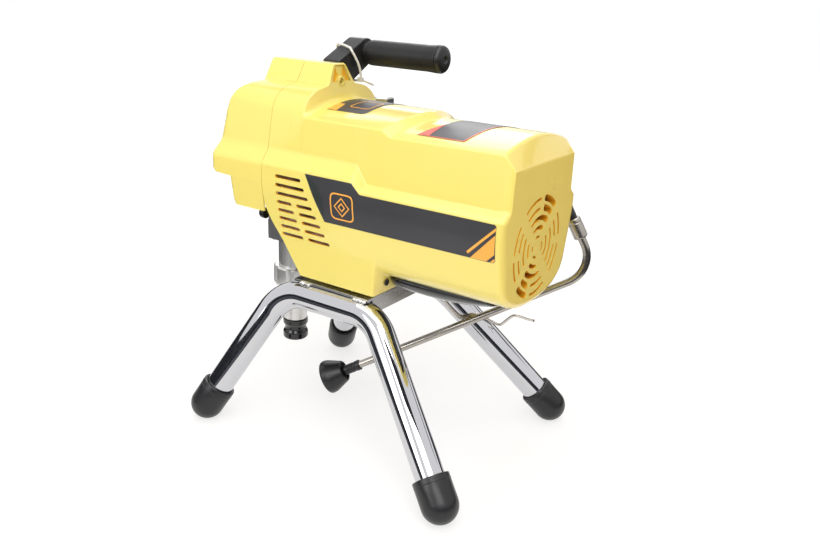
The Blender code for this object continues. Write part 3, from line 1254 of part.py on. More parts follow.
def build_controls():
    face = PANEL_FACE_X
    skin = GAP
    outline = [(-LEDGE_X - skin, PANEL_TOP_Z), (face + 2.0, PANEL_TOP_Z), (face, PANEL_TOP_Z - 2.0),
               (face, PANEL_BOTTOM_Z + 2.0), (face + 2.0, PANEL_BOTTOM_Z)]
    lower_x = SIDE_POINTS[2][0]
    outline += [(-lower_x - skin, PANEL_BOTTOM_Z), (-SIDE_POINTS[1][0] - skin, SIDE_POINTS[1][1]),
                (-SIDE_POINTS[0][0] - skin, SIDE_POINTS[0][1])]
    panel = new_object("control_box", prism(outline, "y", PANEL_FRONT_Y, PANEL_REAR_Y),
                       "black_plastic")
    wall = PANEL_WALL
    room = ((face + wall, PANEL_FRONT_Y + wall, PANEL_BOTTOM_Z + wall),
            (-lower_x + 8.0, PANEL_REAR_Y - wall, PANEL_TOP_Z - wall))
    boolean(panel, box(*room))
    half_w = SWITCH_HALF_WIDTH
    half_h = SWITCH_HALF_HEIGHT
    boolean(panel, box((face - 2.2, SWITCH_Y - half_w - 3.0, KNOB_Z - half_h - 3.0),
                       (face + 1.0, SWITCH_Y + half_w + 3.0, KNOB_Z + half_h + 3.0)), "UNION")
    boolean(panel, joined(
        drum(4.0, face - 1.0, face + wall + 1.0, "x", (0.0, KNOB_Y, KNOB_Z), 16),
        box((face - 4.0, SWITCH_Y - half_w, KNOB_Z - half_h),
            (face + wall + 1.0, SWITCH_Y + half_w, KNOB_Z + half_h)),
        drum(5.5, PANEL_REAR_Y - wall - 1.0, PANEL_REAR_Y + 1.0, "y", (-89.0, 0.0, 262.0), 16)))
    knob_low = -LEDGE_X - 4.0
    knob = lathe([(0.0, knob_low), (3.0, knob_low), (3.0, face - 0.5), (KNOB_RADIUS, face - 0.5),
                  (KNOB_RADIUS, face - KNOB_DEPTH + 3.0), (KNOB_RADIUS - 3.0, face - KNOB_DEPTH),
                  (0.0, face - KNOB_DEPTH)], "x", (0.0, KNOB_Y, KNOB_Z), 24)
    new_object("pressure_knob", knob, "black_plastic", (face, KNOB_Y, KNOB_Z))
    pivot = Vector((face + 1.0, SWITCH_Y, KNOB_Z))
    reach = half_h - 1.8
    rocker = ((5.0, -reach), (5.0, reach), (-2.6, reach), (-0.8, 0.0), (-2.6, -reach))
    tilt = math.radians(ROCKER_TILT)
    turned = [(pivot.x + x * math.cos(tilt) + z * math.sin(tilt),
               pivot.z - x * math.sin(tilt) + z * math.cos(tilt)) for x, z in rocker]
    new_object("power_switch", prism(turned, "y", SWITCH_Y - half_w + 0.8, SWITCH_Y + half_w - 0.8),
               "red_plastic", pivot)
    gland = lathe([(3.6, PANEL_REAR_Y + GAP), (9.0, PANEL_REAR_Y + GAP), (9.0, PANEL_REAR_Y + 6.0),
                   (7.5, PANEL_REAR_Y + 7.0), (5.4, PANEL_REAR_Y + 24.0),
                   (3.6, PANEL_REAR_Y + 24.0)], "y", (-89.0, 0.0, 262.0), 18, ring=True)
    new_object("cord_gland", gland, "black_rubber")


# ---------------------------------------------------------------- handle

def arm_outline(grow=0.0):
    """The arm seen along Y: a round end about the grip, narrowing edges and a root block."""
    (top_x, top_z), (rise_x, rise_z) = ARM_TOP
    (low_x, low_z), (fall_x, fall_z) = ARM_BOTTOM
    top_turn = math.atan2(top_z - rise_z, rise_x - top_x)
    low_turn = math.atan2(low_z - fall_z, fall_x - low_x)
    start = math.pi / 2.0 - top_turn
    end = 1.5 * math.pi - low_turn
    points = []
    for k in range(9):
        share = k / 8.0
        angle = start + (end - start) * share
        reach = ARM_END_RADIUS[0] + (ARM_END_RADIUS[1] - ARM_END_RADIUS[0]) * share + grow
        points.append((GRIP_X + reach * math.cos(angle), GRIP_Z + reach * math.sin(angle)))
    root = ARM_ROOT_HALF_WIDTH + grow
    points.append((fall_x - grow, fall_z - grow * 1.2))
    points += [(-root, ARM_ROOT_Z - grow), (root, ARM_ROOT_Z - grow),
               (root, ARM_ROOT_TOP_Z - 6.0 + grow), (root - 3.0, ARM_ROOT_TOP_Z + grow),
               (rise_x + 2.0 + grow, ARM_ROOT_TOP_Z + grow),
               (rise_x + grow, rise_z + grow * 0.6)]
    return points


def build_handle():
    arm = new_object("handle_arm", prism(arm_outline(), "y", ARM_FRONT_Y, ARM_REAR_Y),
                     "black_paint")
    axis = (GRIP_X, 0.0, GRIP_Z)
    boolean(arm, drum(GRIP_CORE_RADIUS, ARM_REAR_Y - 4.0, GRIP_END_Y - 4.0, "y", axis, 24),
            "UNION")
    bore = GRIP_CORE_RADIUS + GAP
    ribs = [(GRIP_RADIUS, GRIP_START_Y)]
    ribs += [(GRIP_RADIUS, GRIP_END_Y - 8.0), (GRIP_RADIUS + 0.8, GRIP_END_Y)]
    grip = lathe([(bore, GRIP_START_Y), *ribs, (bore, GRIP_END_Y)], "y", axis, 26, ring=True)
    new_object("handle_grip", grip, "black_rubber")
    big = GRIP_RADIUS + 0.8
    cap = lathe([(0.0, GRIP_END_Y + GAP), (big, GRIP_END_Y + GAP), (big, GRIP_END_Y + 2.0),
                 (big - 1.6, GRIP_END_Y + 4.6), (big - 5.0, GRIP_END_Y + 6.2),
                 (4.0, GRIP_END_Y + 6.6), (2.5, GRIP_END_Y + 4.6), (0.0, GRIP_END_Y + 4.6)],
                "y", axis, 26)
    new_object("grip_end_cap", cap, "black_plastic")
    build_cable_tie()


def build_cable_tie():
    """A nylon tie hung loosely round the handle's arm."""
    path = [Vector(point) for point in TIE_POINTS]
    tie = new_object("cable_tie", sweep(path, TIE_RADIUS, 7, closed=True), "white_nylon")
    head = path[9]
    boolean(tie, box(head - Vector((2.6, 3.0, 2.6)), head + Vector((2.6, 3.0, 2.6))), "UNION")
    tail = [head, head + Vector((-9.0, 1.5, -3.0)), head + Vector((-19.5, 4.0, -7.0))]
    boolean(tie, sweep(tail, TIE_RADIUS * 0.8, 6), "UNION")


# ---------------------------------------------------------------- drain line

def build_drain_line():
    hose = smooth_path(HOSE_POINTS, 3)
    new_object("drain_hose", sweep(hose, HOSE_RADIUS, 10), "black_rubber")
    tube_start = Vector(TUBE_POINTS[0])
    down = (Vector(TUBE_POINTS[1]) - tube_start).normalized()
    ferrule = lathe([(0.0, 0.0), (FERRULE_RADIUS - 0.6, 0.0), (FERRULE_RADIUS, 0.8),
                     (FERRULE_RADIUS, FERRULE_LENGTH - 1.0), (FERRULE_RADIUS - 1.0, FERRULE_LENGTH),
                     (TUBE_RADIUS + GAP, FERRULE_LENGTH),
                     (TUBE_RADIUS + GAP, FERRULE_LENGTH - 10.0), (0.0, FERRULE_LENGTH - 10.0)],
                    "z", (0.0, 0.0, 0.0), 20)
    new_object("hose_ferrule", aim(ferrule, tube_start, down), "stainless")
    start = tube_start + down * (FERRULE_LENGTH - 10.0 + GAP)
    end = Vector(TUBE_POINTS[2])
    out = (end - Vector(TUBE_POINTS[1])).normalized()
    path = rounded_path((start, TUBE_POINTS[1], end + out * TUBE_REACH), TUBE_BEND_RADIUS, 8)
    new_object("drain_tube", sweep(path, TUBE_RADIUS, 14, TUBE_RADIUS - 1.2), "stainless")

    bore = TUBE_RADIUS + GAP
    sleeve = lathe([(bore, 0.0), (SLEEVE_RADIUS, 0.0), (SLEEVE_RADIUS, 5.0),
                    (SLEEVE_RADIUS - 0.6, 6.0), (SLEEVE_RADIUS - 0.6, SLEEVE_LENGTH - 8.0),
                    (SLEEVE_RADIUS, SLEEVE_LENGTH - 7.0), (SLEEVE_RADIUS, SLEEVE_LENGTH - GAP),
                    (bore, SLEEVE_LENGTH - GAP)], "z", (0.0, 0.0, 0.0), 14, ring=True)
    sleeve_start = end - out * (SLEEVE_LENGTH - CONE_PROFILE[0][1])
    new_object("tube_sleeve", aim(sleeve, sleeve_start, out), "black_rubber")
    cone = lathe([(bore, CONE_PROFILE[0][1]), *CONE_PROFILE, (bore, TUBE_REACH)], "z",
                 (0.0, 0.0, 0.0), 20, ring=True)
    new_object("deflector_cone", aim(cone, end, out), "black_rubber")


def build_wire_clip():
    """Spring wire bent round the near side of the far rear leg, with a hooked free end."""
    path = smooth_path(CLIP_POINTS, 3)
    new_object("wire_clip", sweep(path, CLIP_WIRE_RADIUS, 8), "stainless")


# ---------------------------------------------------------------- assembly

def centre_on_floor(frame):
    """Move the frame so that the model's origin is the bottom centre of its bounding box."""
    bpy.context.view_layer.update()
    graph = bpy.context.evaluated_depsgraph_get()
    low = [math.inf] * 3
    high = [-math.inf] * 3
    for obj in bpy.context.scene.objects:
        if obj.type != "MESH" or obj.hide_render:
            continue
        evaluated = obj.evaluated_get(graph)
        mesh = evaluated.to_mesh()
        for vert in mesh.vertices:
            point = evaluated.matrix_world @ vert.co
            for axis in range(3):
                low[axis] = min(low[axis], point[axis])
                high[axis] = max(high[axis], point[axis])
        evaluated.to_mesh_clear()
    frame.location = (-(low[0] + high[0]) / 2.0, -(low[1] + high[1]) / 2.0, -low[2])
    bpy.context.view_layer.update()


def main():
    clear_scene()
    frame = bpy.data.objects.new("machine_frame", None)
    bpy.context.scene.collection.objects.link(frame)
    build_stand()
    build_front_cover()
    build_motor_shroud()
    build_belly_pan()
    build_castings()
    build_motor()
    build_pump(build_crank())
    build_manifold()
    build_controls()
    build_handle()
    build_drain_line()
    build_wire_clip()
    centre_on_floor(frame)


main()
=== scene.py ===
"""Looks of an airless paint sprayer on a four-legged tube stand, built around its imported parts.

Sizes are millimetres in the machine's own frame: +Z up, pump at -Y, fan grille at +Y, controls at
-X, origin on the floor between the feet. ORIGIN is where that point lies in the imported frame.
Lamps, floor and flags are in metres.
"""

import math

import bmesh
import bpy
from mathutils import Matrix, Vector


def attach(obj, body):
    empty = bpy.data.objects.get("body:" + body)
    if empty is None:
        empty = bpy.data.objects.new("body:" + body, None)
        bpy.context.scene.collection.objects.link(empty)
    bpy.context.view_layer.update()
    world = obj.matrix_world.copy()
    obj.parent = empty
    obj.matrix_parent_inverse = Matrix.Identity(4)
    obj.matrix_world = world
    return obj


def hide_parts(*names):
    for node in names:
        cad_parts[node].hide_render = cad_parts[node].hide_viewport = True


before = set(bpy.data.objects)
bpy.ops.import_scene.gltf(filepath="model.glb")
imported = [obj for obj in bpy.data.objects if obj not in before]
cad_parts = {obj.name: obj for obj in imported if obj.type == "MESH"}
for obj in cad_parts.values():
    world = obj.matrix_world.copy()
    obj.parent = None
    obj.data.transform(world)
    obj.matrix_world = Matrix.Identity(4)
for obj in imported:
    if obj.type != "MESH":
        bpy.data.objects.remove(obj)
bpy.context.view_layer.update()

MM = 0.001
ORIGIN = Vector((2.244, -1.204, -0.8))
SIDES = ((1, "left"), (-1, "right"))


# ------------------------------------------------------------------ camera

FOCAL_PIXELS = 790.3
IMAGE_WIDTH = 820.0
EYE = Vector((710.8, 498.3, 505.6))
YAW, PITCH, ROLL = (math.radians(a) for a in (33.199, 19.816, 2.77))


def link(name, data):
    obj = bpy.data.objects.new(name, data)
    bpy.context.scene.collection.objects.link(obj)
    return obj


def make_camera():
    look = Vector((-math.cos(PITCH) * math.cos(YAW), -math.cos(PITCH) * math.sin(YAW),
                   -math.sin(PITCH)))
    level = Vector((-math.sin(YAW), math.cos(YAW), 0.0))
    above = level.cross(look)
    right = math.cos(ROLL) * level + math.sin(ROLL) * above
    up = -math.sin(ROLL) * level + math.cos(ROLL) * above
    data = bpy.data.cameras.new("camera")
    data.sensor_width = 36.0
    data.lens = data.sensor_width * FOCAL_PIXELS / IMAGE_WIDTH
    data.clip_start, data.clip_end = 0.02, 60.0
    camera = link("camera", data)
    turn = Matrix((right, up, -look)).transposed().to_4x4()
    camera.matrix_world = Matrix.Translation((EYE + ORIGIN) * MM) @ turn
    bpy.context.scene.camera = camera
    bpy.context.scene.view_settings.view_transform = "Standard"


# ------------------------------------------------------------------ node graphs

class Graph:
    """Short calls for the nodes of a material or world."""

    def __init__(self, owner, clear=True):
        owner.use_nodes = True
        self.nodes, self.links = owner.node_tree.nodes, owner.node_tree.links
        if clear:
            self.nodes.clear()

    def fill(self, node, values):
        """Set each named input to a value, or link it where the value is a socket."""
        for name, value in values.items():
            if isinstance(value, bpy.types.NodeSocket):
                self.links.new(value, node.inputs[name])
            else:
                node.inputs[name].default_value = value

    def add(self, kind, values, output=0, **settings):
        node = self.nodes.new(f"ShaderNode{kind}")
        for name, value in settings.items():
            setattr(node, name, value)
        self.fill(node, values)
        return node.outputs[output] if node.outputs else None

    def ramp(self, share, stops):
        """Colour ramp; stops are (place, (red, green, blue)) in order."""
        socket = self.add("ValToRGB", {"Fac": share}, "Color")
        ends = socket.node.color_ramp.elements
        for end, (place, colour) in zip((ends[0], ends[1]), (stops[0], stops[-1])):
            end.position, end.color = place, (*colour, 1.0)
        for place, colour in stops[1:-1]:
            ends.new(place).color = (*colour, 1.0)
        return socket

    def seen_ray(self):
        """1 for rays that look at the background: straight on, in a mirror or through glass."""
        total = self.add("LightPath", {}, "Is Camera Ray")
        rays = total.node.outputs
        for kind in ("Is Glossy Ray", "Is Transmission Ray"):
            total = self.add("Math", {0: total, 1: rays[kind]}, operation="ADD", use_clamp=True)
        return total


def shader(name, colour, rough, metal=0.0, coat=0.0, spread=0.04, rough_spread=0.06,
           grain=900.0, bump=0.05, depth=0.02, stretch=(1.0, 1.0, 1.0), scale=14.0,
           shine=0.5):
    """A surface whose colour and roughness drift a little, with a fine grain as bump."""
    material = bpy.data.materials.new(name)
    graph = Graph(material, clear=False)
    place = graph.add("Mapping", {"Vector": graph.add("TexCoord", {}, "Object"),
                                  "Scale": stretch})
    drift = graph.add("TexNoise", {"Vector": place, "Scale": scale, "Detail": 4.0}, "Fac")
    low, high = [[min(1.0, max(0.0, c * (1.0 + change))) for c in colour]
                 for change in (-spread, spread)]
    fine = graph.add("TexNoise", {"Vector": place, "Scale": grain, "Detail": 2.0}, "Fac")
    graph.fill(graph.nodes["Principled BSDF"], {
        "Metallic": metal, "Coat Weight": coat, "Coat Roughness": 0.06,
        "Specular IOR Level": shine,
        "Base Color": graph.ramp(drift, ((0.3, low), (0.7, high))),
        "Roughness": graph.add("MapRange", {
            "Value": drift, "To Min": max(0.02, rough - rough_spread),
            "To Max": rough + rough_spread}),
        "Normal": graph.add("Bump", {"Strength": bump, "Distance": depth * MM,
                                     "Height": fine})})
    return material


# ------------------------------------------------------------------ light and floor

FLOOR_REACH = 6.0
CENTRE = (0.0, 0.0, 0.2)
# name, place, (width, height), watts, colour
LAMPS = (("key", (1.35, 1.05, 1.9), (1.4, 1.4), 23.0, (1.0, 1.0, 1.0)),
         ("top", (0.15, 0.0, 2.1), (2.2, 1.6), 19.0, (1.0, 1.0, 1.0)),
         ("side", (2.1, -0.6, 0.9), (1.0, 1.6), 14.0, (1.0, 1.0, 1.0)),
         ("back", (-1.8, -1.2, 1.5), (1.2, 1.2), 10.0, (1.0, 1.0, 1.0)),
         ("warm", (0.0, 1.7, 0.4), (0.9, 0.7), 2.4, (1.0, 0.3, 0.2)))
FLAG_NEAR, FLAG_FAR, FLAG_HIGH = 0.46, 1.7, 0.36
FLAG_STEPS = 48
# azimuth and elevation of a board's middle, half width and half height
BOARDS = ((50.0, 53.0, 0.34, 0.13), (150.0, 24.0, 0.5, 0.06), (-120.0, 50.0, 0.4, 0.12))
BOARD_DISTANCE = 1.6


def make_world():
    """Soft warm light from all round, over a background that is seen as white."""
    world = bpy.data.worlds.new("studio")
    bpy.context.scene.world = world
    graph = Graph(world)
    height = graph.add("SeparateXYZ", {0: graph.add("TexCoord", {}, "Generated")}, "Z")
    stops = [(place, (level, level * 0.9, level * 0.72))
             for place, level in ((0.16, 0.62), (0.22, 0.16), (0.42, 0.14), (0.5, 0.8))]
    stops = [(0.0, (0.56, 0.5, 0.4)), *stops, (1.0, (0.95, 0.85, 0.68))]
    soft = graph.add("Background", {"Color": graph.ramp(height, stops), "Strength": 0.62})
    white = graph.add("Background", {"Color": (1.0, 1.0, 1.0, 1.0), "Strength": 1.0})
    mix = graph.add("MixShader", {0: graph.seen_ray(), 1: soft, 2: white})
    graph.add("OutputWorld", {"Surface": mix})


def make_lamps():
    for name, place, (width, height), watts, colour in LAMPS:
        data = bpy.data.lights.new(name, "AREA")
        data.shape = "RECTANGLE"
        data.size, data.size_y = width, height
        data.energy = watts
        data.color = colour
        lamp = link(name, data)
        lamp.location = place
        lamp.rotation_mode = "QUATERNION"
        lamp.rotation_quaternion = (Vector(CENTRE) - Vector(place)).to_track_quat("-Z", "Y")
        lamp.visible_glossy = name != "warm"


def floor_material():
    """White floor that only shows the soft shadow of what stands on it."""
    material = bpy.data.materials.new("floor_paper")
    graph = Graph(material)
    paper = graph.add("BsdfDiffuse", {"Color": (0.9, 0.9, 0.9, 1.0)})
    shown = graph.add("BsdfDiffuse", {"Color": (0.3, 0.3, 0.3, 1.0)})
    away = graph.add("VectorMath", {0: graph.add("TexCoord", {}, "Object")}, "Value",
                     operation="LENGTH")
    share = graph.add("Math", {0: away, 1: FLOOR_REACH}, operation="DIVIDE")
    even = graph.ramp(share, [(place, (level,) * 3) for place, level in (
        (0.067, 0.74), (0.2, 0.83), (0.267, 0.88), (0.6, 0.98), (1.0, 1.0))])
    glow = graph.add("Emission", {"Color": even, "Strength": 1.0})
    both = graph.add("AddShader", {0: shown, 1: glow})
    mix = graph.add("MixShader", {0: graph.seen_ray(), 1: paper, 2: both})
    graph.add("OutputMaterial", {"Surface": mix})
    return material


def make_floor():
    mesh = bpy.data.meshes.new("floor")
    corners = [(x * FLOOR_REACH, y * FLOOR_REACH, 0.0)
               for x, y in ((-1, -1), (1, -1), (1, 1), (-1, 1))]
    mesh.from_pydata(corners, [], [(0, 1, 2, 3)])
    floor = link("floor", mesh)
    floor.location.z = -0.0004
    mesh.materials.append(floor_material())


def make_flags():
    """Dark boards round the set that only mirrors show, as the streaks in the chrome."""
    bm = bmesh.new()
    rings = []
    for radius, height in ((FLAG_NEAR, 0.001), (FLAG_FAR, 0.001), (FLAG_FAR, FLAG_HIGH)):
        rings.append([bm.verts.new((radius * math.cos(2.0 * math.pi * k / FLAG_STEPS),
                                    radius * math.sin(2.0 * math.pi * k / FLAG_STEPS), height))
                      for k in range(FLAG_STEPS)])
    strips(bm, rings)
    for azimuth, elevation, wide, tall in BOARDS:
        a, e = math.radians(azimuth), math.radians(elevation)
        out = Vector((math.cos(a) * math.cos(e), math.sin(a) * math.cos(e), math.sin(e)))
        side = Vector((-math.sin(a), math.cos(a), 0.0))
        top = out.cross(side)
        middle = out * BOARD_DISTANCE + Vector((0.0, 0.0, 0.1))
        bm.faces.new([bm.verts.new(middle + side * wide * i + top * tall * j)
                      for i, j in ((-1, -1), (1, -1), (1, 1), (-1, 1))])
    mesh = bpy.data.meshes.new("flags")
    bm.to_mesh(mesh)
    bm.free()
    mesh.materials.append(shader("flag_cloth", (0.016, 0.02, 0.03), 0.9, spread=0.5, scale=3.0))
    flags = link("flags", mesh)
    for kind in ("camera", "diffuse", "transmission", "shadow"):
        setattr(flags, f"visible_{kind}", False)


# ------------------------------------------------------------------ materials

LOOKS = {
    "yellow": shader("yellow_gloss", (0.885, 0.755, 0.188), 0.26, coat=0.5, spread=0.012,
                     rough_spread=0.04, grain=160.0, bump=0.05, depth=0.3, scale=9.0),
    "black": shader("black_moulded", (0.018, 0.018, 0.02), 0.42, grain=1500.0, bump=0.3,
                    depth=0.06, spread=0.2, shine=0.3),
    "gloss_black": shader("black_gloss", (0.008, 0.008, 0.009), 0.12, coat=0.3, spread=0.2,
                          grain=200.0, bump=0.04, depth=0.2, rough_spread=0.04),
    "rubber": shader("black_rubber", (0.009, 0.0095, 0.012), 0.33, grain=1100.0, bump=0.3,
                     depth=0.08, spread=0.25, rough_spread=0.08, shine=0.5),
    "grip": shader("grip_rubber", (0.014, 0.014, 0.015), 0.4, grain=1900.0, bump=0.45,
                   depth=0.09, spread=0.2, rough_spread=0.08, shine=0.3),
    "paint": shader("black_powder_coat", (0.022, 0.023, 0.025), 0.36, grain=750.0, bump=0.45,
                    depth=0.08, spread=0.2, shine=0.4),
    "chrome": shader("chrome_plate", (0.6, 0.6, 0.625), 0.045, metal=1.0, spread=0.02,
                     rough_spread=0.02, grain=120.0, bump=0.02, depth=0.1),
    "steel": shader("zinc_steel", (0.56, 0.55, 0.53), 0.28, metal=1.0, spread=0.08,
                    rough_spread=0.08, grain=260.0, bump=0.15, depth=0.05,
                    stretch=(1.0, 1.0, 9.0)),
    "stainless": shader("bright_stainless", (0.66, 0.62, 0.57), 0.16, metal=1.0, spread=0.05,
                        rough_spread=0.06, grain=420.0, bump=0.05, depth=0.04),
    "casting": shader("grey_casting", (0.2, 0.2, 0.21), 0.52, metal=0.75, spread=0.15,
                      grain=520.0, bump=0.6, depth=0.18, rough_spread=0.1),
    "aluminium": shader("machined_aluminium", (0.66, 0.66, 0.68), 0.33, metal=1.0, spread=0.05,
                        grain=300.0, bump=0.2, depth=0.05, stretch=(1.0, 1.0, 14.0)),
    "brushed": shader("brushed_stainless", (0.44, 0.41, 0.37), 0.25, metal=1.0, spread=0.1,
                      rough_spread=0.05, grain=700.0, bump=0.12, depth=0.03,
                      stretch=(6.0, 6.0, 0.6)),
    "satin": shader("satin_steel", (0.74, 0.735, 0.72), 0.3, metal=0.85, spread=0.04,
                    rough_spread=0.06, grain=500.0, bump=0.1, depth=0.03,
                    stretch=(8.0, 8.0, 0.8)),
    "brass": shader("brass", (0.72, 0.53, 0.23), 0.26, metal=1.0, spread=0.08, grain=400.0,
                    bump=0.1, depth=0.05),
    "copper": shader("enamelled_copper", (0.62, 0.27, 0.13), 0.34, metal=0.9, spread=0.2,
                     grain=300.0, bump=0.8, depth=0.4, stretch=(1.0, 0.15, 1.0)),
    "nylon": shader("white_nylon", (0.8, 0.8, 0.78), 0.42, spread=0.03, grain=600.0, bump=0.1),
    "red": shader("red_moulded", (0.55, 0.035, 0.025), 0.34, coat=0.2, spread=0.08,
                  grain=900.0, bump=0.2),
    # deeper amber for the inner and cut walls of the covers: painted shade of the yellow plastic
    "amber_shade": shader("painted_amber_shade", (0.9, 0.48, 0.025), 0.45, spread=0.05, grain=500.0),
    "weld": shader("plated_weld", (0.78, 0.77, 0.74), 0.2, metal=1.0, spread=0.15, grain=260.0,
                   bump=0.6, depth=0.3, rough_spread=0.08),
    # brownish grey behind the side vents: painted shade of the inside
    "vent_shade": shader("painted_vent_shade", (0.4, 0.29, 0.27), 0.85, grain=350.0, bump=0.8, depth=0.4,
                   spread=0.93, shine=0.1, scale=26.0),
}
for key, name, colour, rough, spread in (
        ("charcoal", "charcoal_film", (0.047, 0.047, 0.056), 0.36, 0.06),
        ("charcoal_green", "charcoal_green_film", (0.018, 0.036, 0.026), 0.4, 0.06),
        ("orange", "orange_film", (0.95, 0.45, 0.07), 0.34, 0.03),
        ("label_red", "red_film", (0.86, 0.13, 0.1), 0.34, 0.03)):
    LOOKS[key] = shader(name, colour, rough, spread=spread, rough_spread=0.05, grain=700.0,
                        bump=0.1)


# ------------------------------------------------------------------ objects and modifiers

def to_object(name, bm):
    """A mesh drawn in millimetres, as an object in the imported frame."""
    bmesh.ops.translate(bm, verts=bm.verts, vec=ORIGIN)
    bmesh.ops.scale(bm, verts=bm.verts, vec=(MM, MM, MM))
    mesh = bpy.data.meshes.new(name)
    bm.to_mesh(mesh)
    bm.free()
    return link(name, mesh)


def smooth(obj, angle):
    obj.data.shade_smooth()
    obj.data.set_sharp_from_angle(angle=math.radians(angle))


def even_normals(obj):
    obj.modifiers.new("normals", "WEIGHTED_NORMAL").keep_sharp = True


def new_piece(name, bm, look, body="machine", replaces=(), sharp=35.0, weighted=True):
    """A piece of the object, drawn in millimetres, that rides on a body."""
    obj = to_object(name, bm)
    smooth(obj, sharp)
    obj.data.materials.append(LOOKS[look])
    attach(obj, body)
    if replaces:
        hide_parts(*replaces)
    if weighted:
        even_normals(obj)
    return obj


def thicken(obj, thickness, even=False):
    solid = obj.modifiers.new("wall", "SOLIDIFY")
    solid.thickness = thickness * MM
    solid.offset = -1.0
    solid.use_even_offset = even
    return solid


def round_edges(obj, width, segments=3, angle=30.0):
    bevel = obj.modifiers.new("edges", "BEVEL")
    bevel.width = width * MM
    bevel.segments = segments
    bevel.limit_method = "ANGLE"
    bevel.angle_limit = math.radians(angle)
    if obj.modifiers.get("normals"):
        obj.modifiers.move(len(obj.modifiers) - 1, 0)


def bake(obj):
    """Replace an object's mesh by what its modifiers make of it."""
    bpy.context.view_layer.update()
    graph = bpy.context.evaluated_depsgraph_get()
    mesh = bpy.data.meshes.new_from_object(obj.evaluated_get(graph))
    old = obj.data
    obj.modifiers.clear()
    obj.data = mesh
    bpy.data.meshes.remove(old)


def apply_cuts(obj, cuts):
    """Cut shapes out of an object; a cut given with 1 shows the second material."""
    tools = []
    for index, (bm, slot) in enumerate(cuts):
        tool = to_object(f"{obj.name}_cut_{index}", bm)
        for material in obj.data.materials:
            tool.data.materials.append(material)
        for face in tool.data.polygons:
            face.material_index = slot
        tools.append(tool)
        step = obj.modifiers.new(f"cut_{index}", "BOOLEAN")
        step.operation = "DIFFERENCE"
        step.solver = "EXACT"
        step.object = tool
    bake(obj)
    for tool in tools:
        mesh = tool.data
        bpy.data.objects.remove(tool, do_unlink=True)
        bpy.data.meshes.remove(mesh)


# ------------------------------------------------------------------ mesh helpers

def closed_pairs(points):
    return zip(points, [*points[1:], points[0]])


def strips(bm, rows, closed=True):
    """Faces between each row of points and the next."""
    for first, second in zip(rows, rows[1:]):
        for i in range(len(first) if closed else len(first) - 1):
            j = (i + 1) % len(first)
            bm.faces.new((first[i], first[j], second[j], second[i]))


def close(bm):
    bmesh.ops.recalc_face_normals(bm, faces=bm.faces)
    return bm


def facing(bm, probe):
    """Turn a sheet's faces so that they look along the probe."""
    close(bm)
    if sum(face.normal.dot(Vector(probe)) * face.calc_area() for face in bm.faces) < 0.0:
        bmesh.ops.reverse_faces(bm, faces=bm.faces)


def joined(*meshes):
    total = bmesh.new()
    for part in meshes:
        copies = {vert: total.verts.new(vert.co) for vert in part.verts}
        for face in part.faces:
            total.faces.new([copies[vert] for vert in face.verts])
        part.free()
    return total


def to_axis(axis, point, across_a, across_b, along):
    offsets = {"x": (along, across_a, across_b), "y": (across_a, along, across_b),
               "z": (across_a, across_b, along)}[axis]
    return tuple(start + offset for start, offset in zip(point, offsets))


def loft(rows):
    """A solid between rows of points, closed at both ends."""
    bm = bmesh.new()
    ends = [[bm.verts.new(point) for point in row] for row in rows]
    bm.faces.new(ends[0])
    bm.faces.new(ends[-1])
    strips(bm, ends)
    return close(bm)


def prism(outline, axis, low, high):
    return loft([[to_axis(axis, (0.0, 0.0, 0.0), a, b, level) for a, b in outline]
                 for level in (low, high)])


def box(low, high):
    return prism(((low[0], low[1]), (high[0], low[1]), (high[0], high[1]), (low[0], high[1])),
                 "z", low[2], high[2])


def rounded(before, corner, after, setback, steps):
    """Points of one rounded corner, which starts and ends up to a setback away from it."""
    into, out = corner - before, after - corner
    reach = min(setback, 0.49 * into.length, 0.49 * out.length)
    start, end = corner - into.normalized() * reach, corner + out.normalized() * reach
    shares = [k / steps for k in range(steps + 1)]
    return [start * (1.0 - t) ** 2 + corner * 2.0 * t * (1.0 - t) + end * t * t for t in shares]


def soften(points, setbacks, steps=4, closed=False):
    """Round a polyline's corners by one setback each, or by one for all."""
    points = [Vector(p) for p in points]
    count = len(points)
    if isinstance(setbacks, (int, float)):
        setbacks = [setbacks] * count
    path = []
    for i, corner in enumerate(points):
        if closed or 0 < i < count - 1:
            path += rounded(points[i - 1], corner, points[(i + 1) % count], setbacks[i], steps)
        else:
            path.append(corner)
    return path


def soften_rows(points, *rest):
    """Round a half section of (x, z, setback) points, in the plane of x and z."""
    return soften([(x, 0.0, z) for x, z, _ in points], [s for _, _, s in points], *rest)


def lathe(profile, axis, point, segments=64, ring=False, setback=0.0):
    """Turn (radius, distance along the axis) points, with rounded profile corners."""
    if setback:
        flat = soften([(r, a, 0.0) for r, a in profile], setback, 3, closed=ring)
        profile = [(max(0.0, p.x), p.y) for p in flat]
    bm = bmesh.new()
    rows = []
    for radius, along in profile:
        turns = [2.0 * math.pi * k / segments for k in range(segments if radius >= 1e-6 else 1)]
        rows.append([bm.verts.new(to_axis(axis, point, radius * math.cos(turn),
                                          radius * math.sin(turn), along)) for turn in turns])
    pairs = list(zip(rows, rows[1:]))
    if ring:
        pairs.append((rows[-1], rows[0]))
    for lower, upper in pairs:
        for k in range(segments):
            n = (k + 1) % segments
            quad = [lower[k % len(lower)], lower[n % len(lower)],
                    upper[n % len(upper)], upper[k % len(upper)]]
            face = [vert for i, vert in enumerate(quad) if vert not in quad[:i]]
            if len(face) > 2:
                bm.faces.new(face)
    return close(bm)


def disc(radius, low, high, axis, point, segments):
    return lathe([(0.0, low), (radius, low), (radius, high), (0.0, high)], axis, point, segments)


def aim(bm, start, direction):
    turn = Vector((0.0, 0.0, 1.0)).rotation_difference(Vector(direction)).to_matrix()
    bmesh.ops.rotate(bm, verts=bm.verts, matrix=turn)
    bmesh.ops.translate(bm, verts=bm.verts, vec=Vector(start))
    return bm


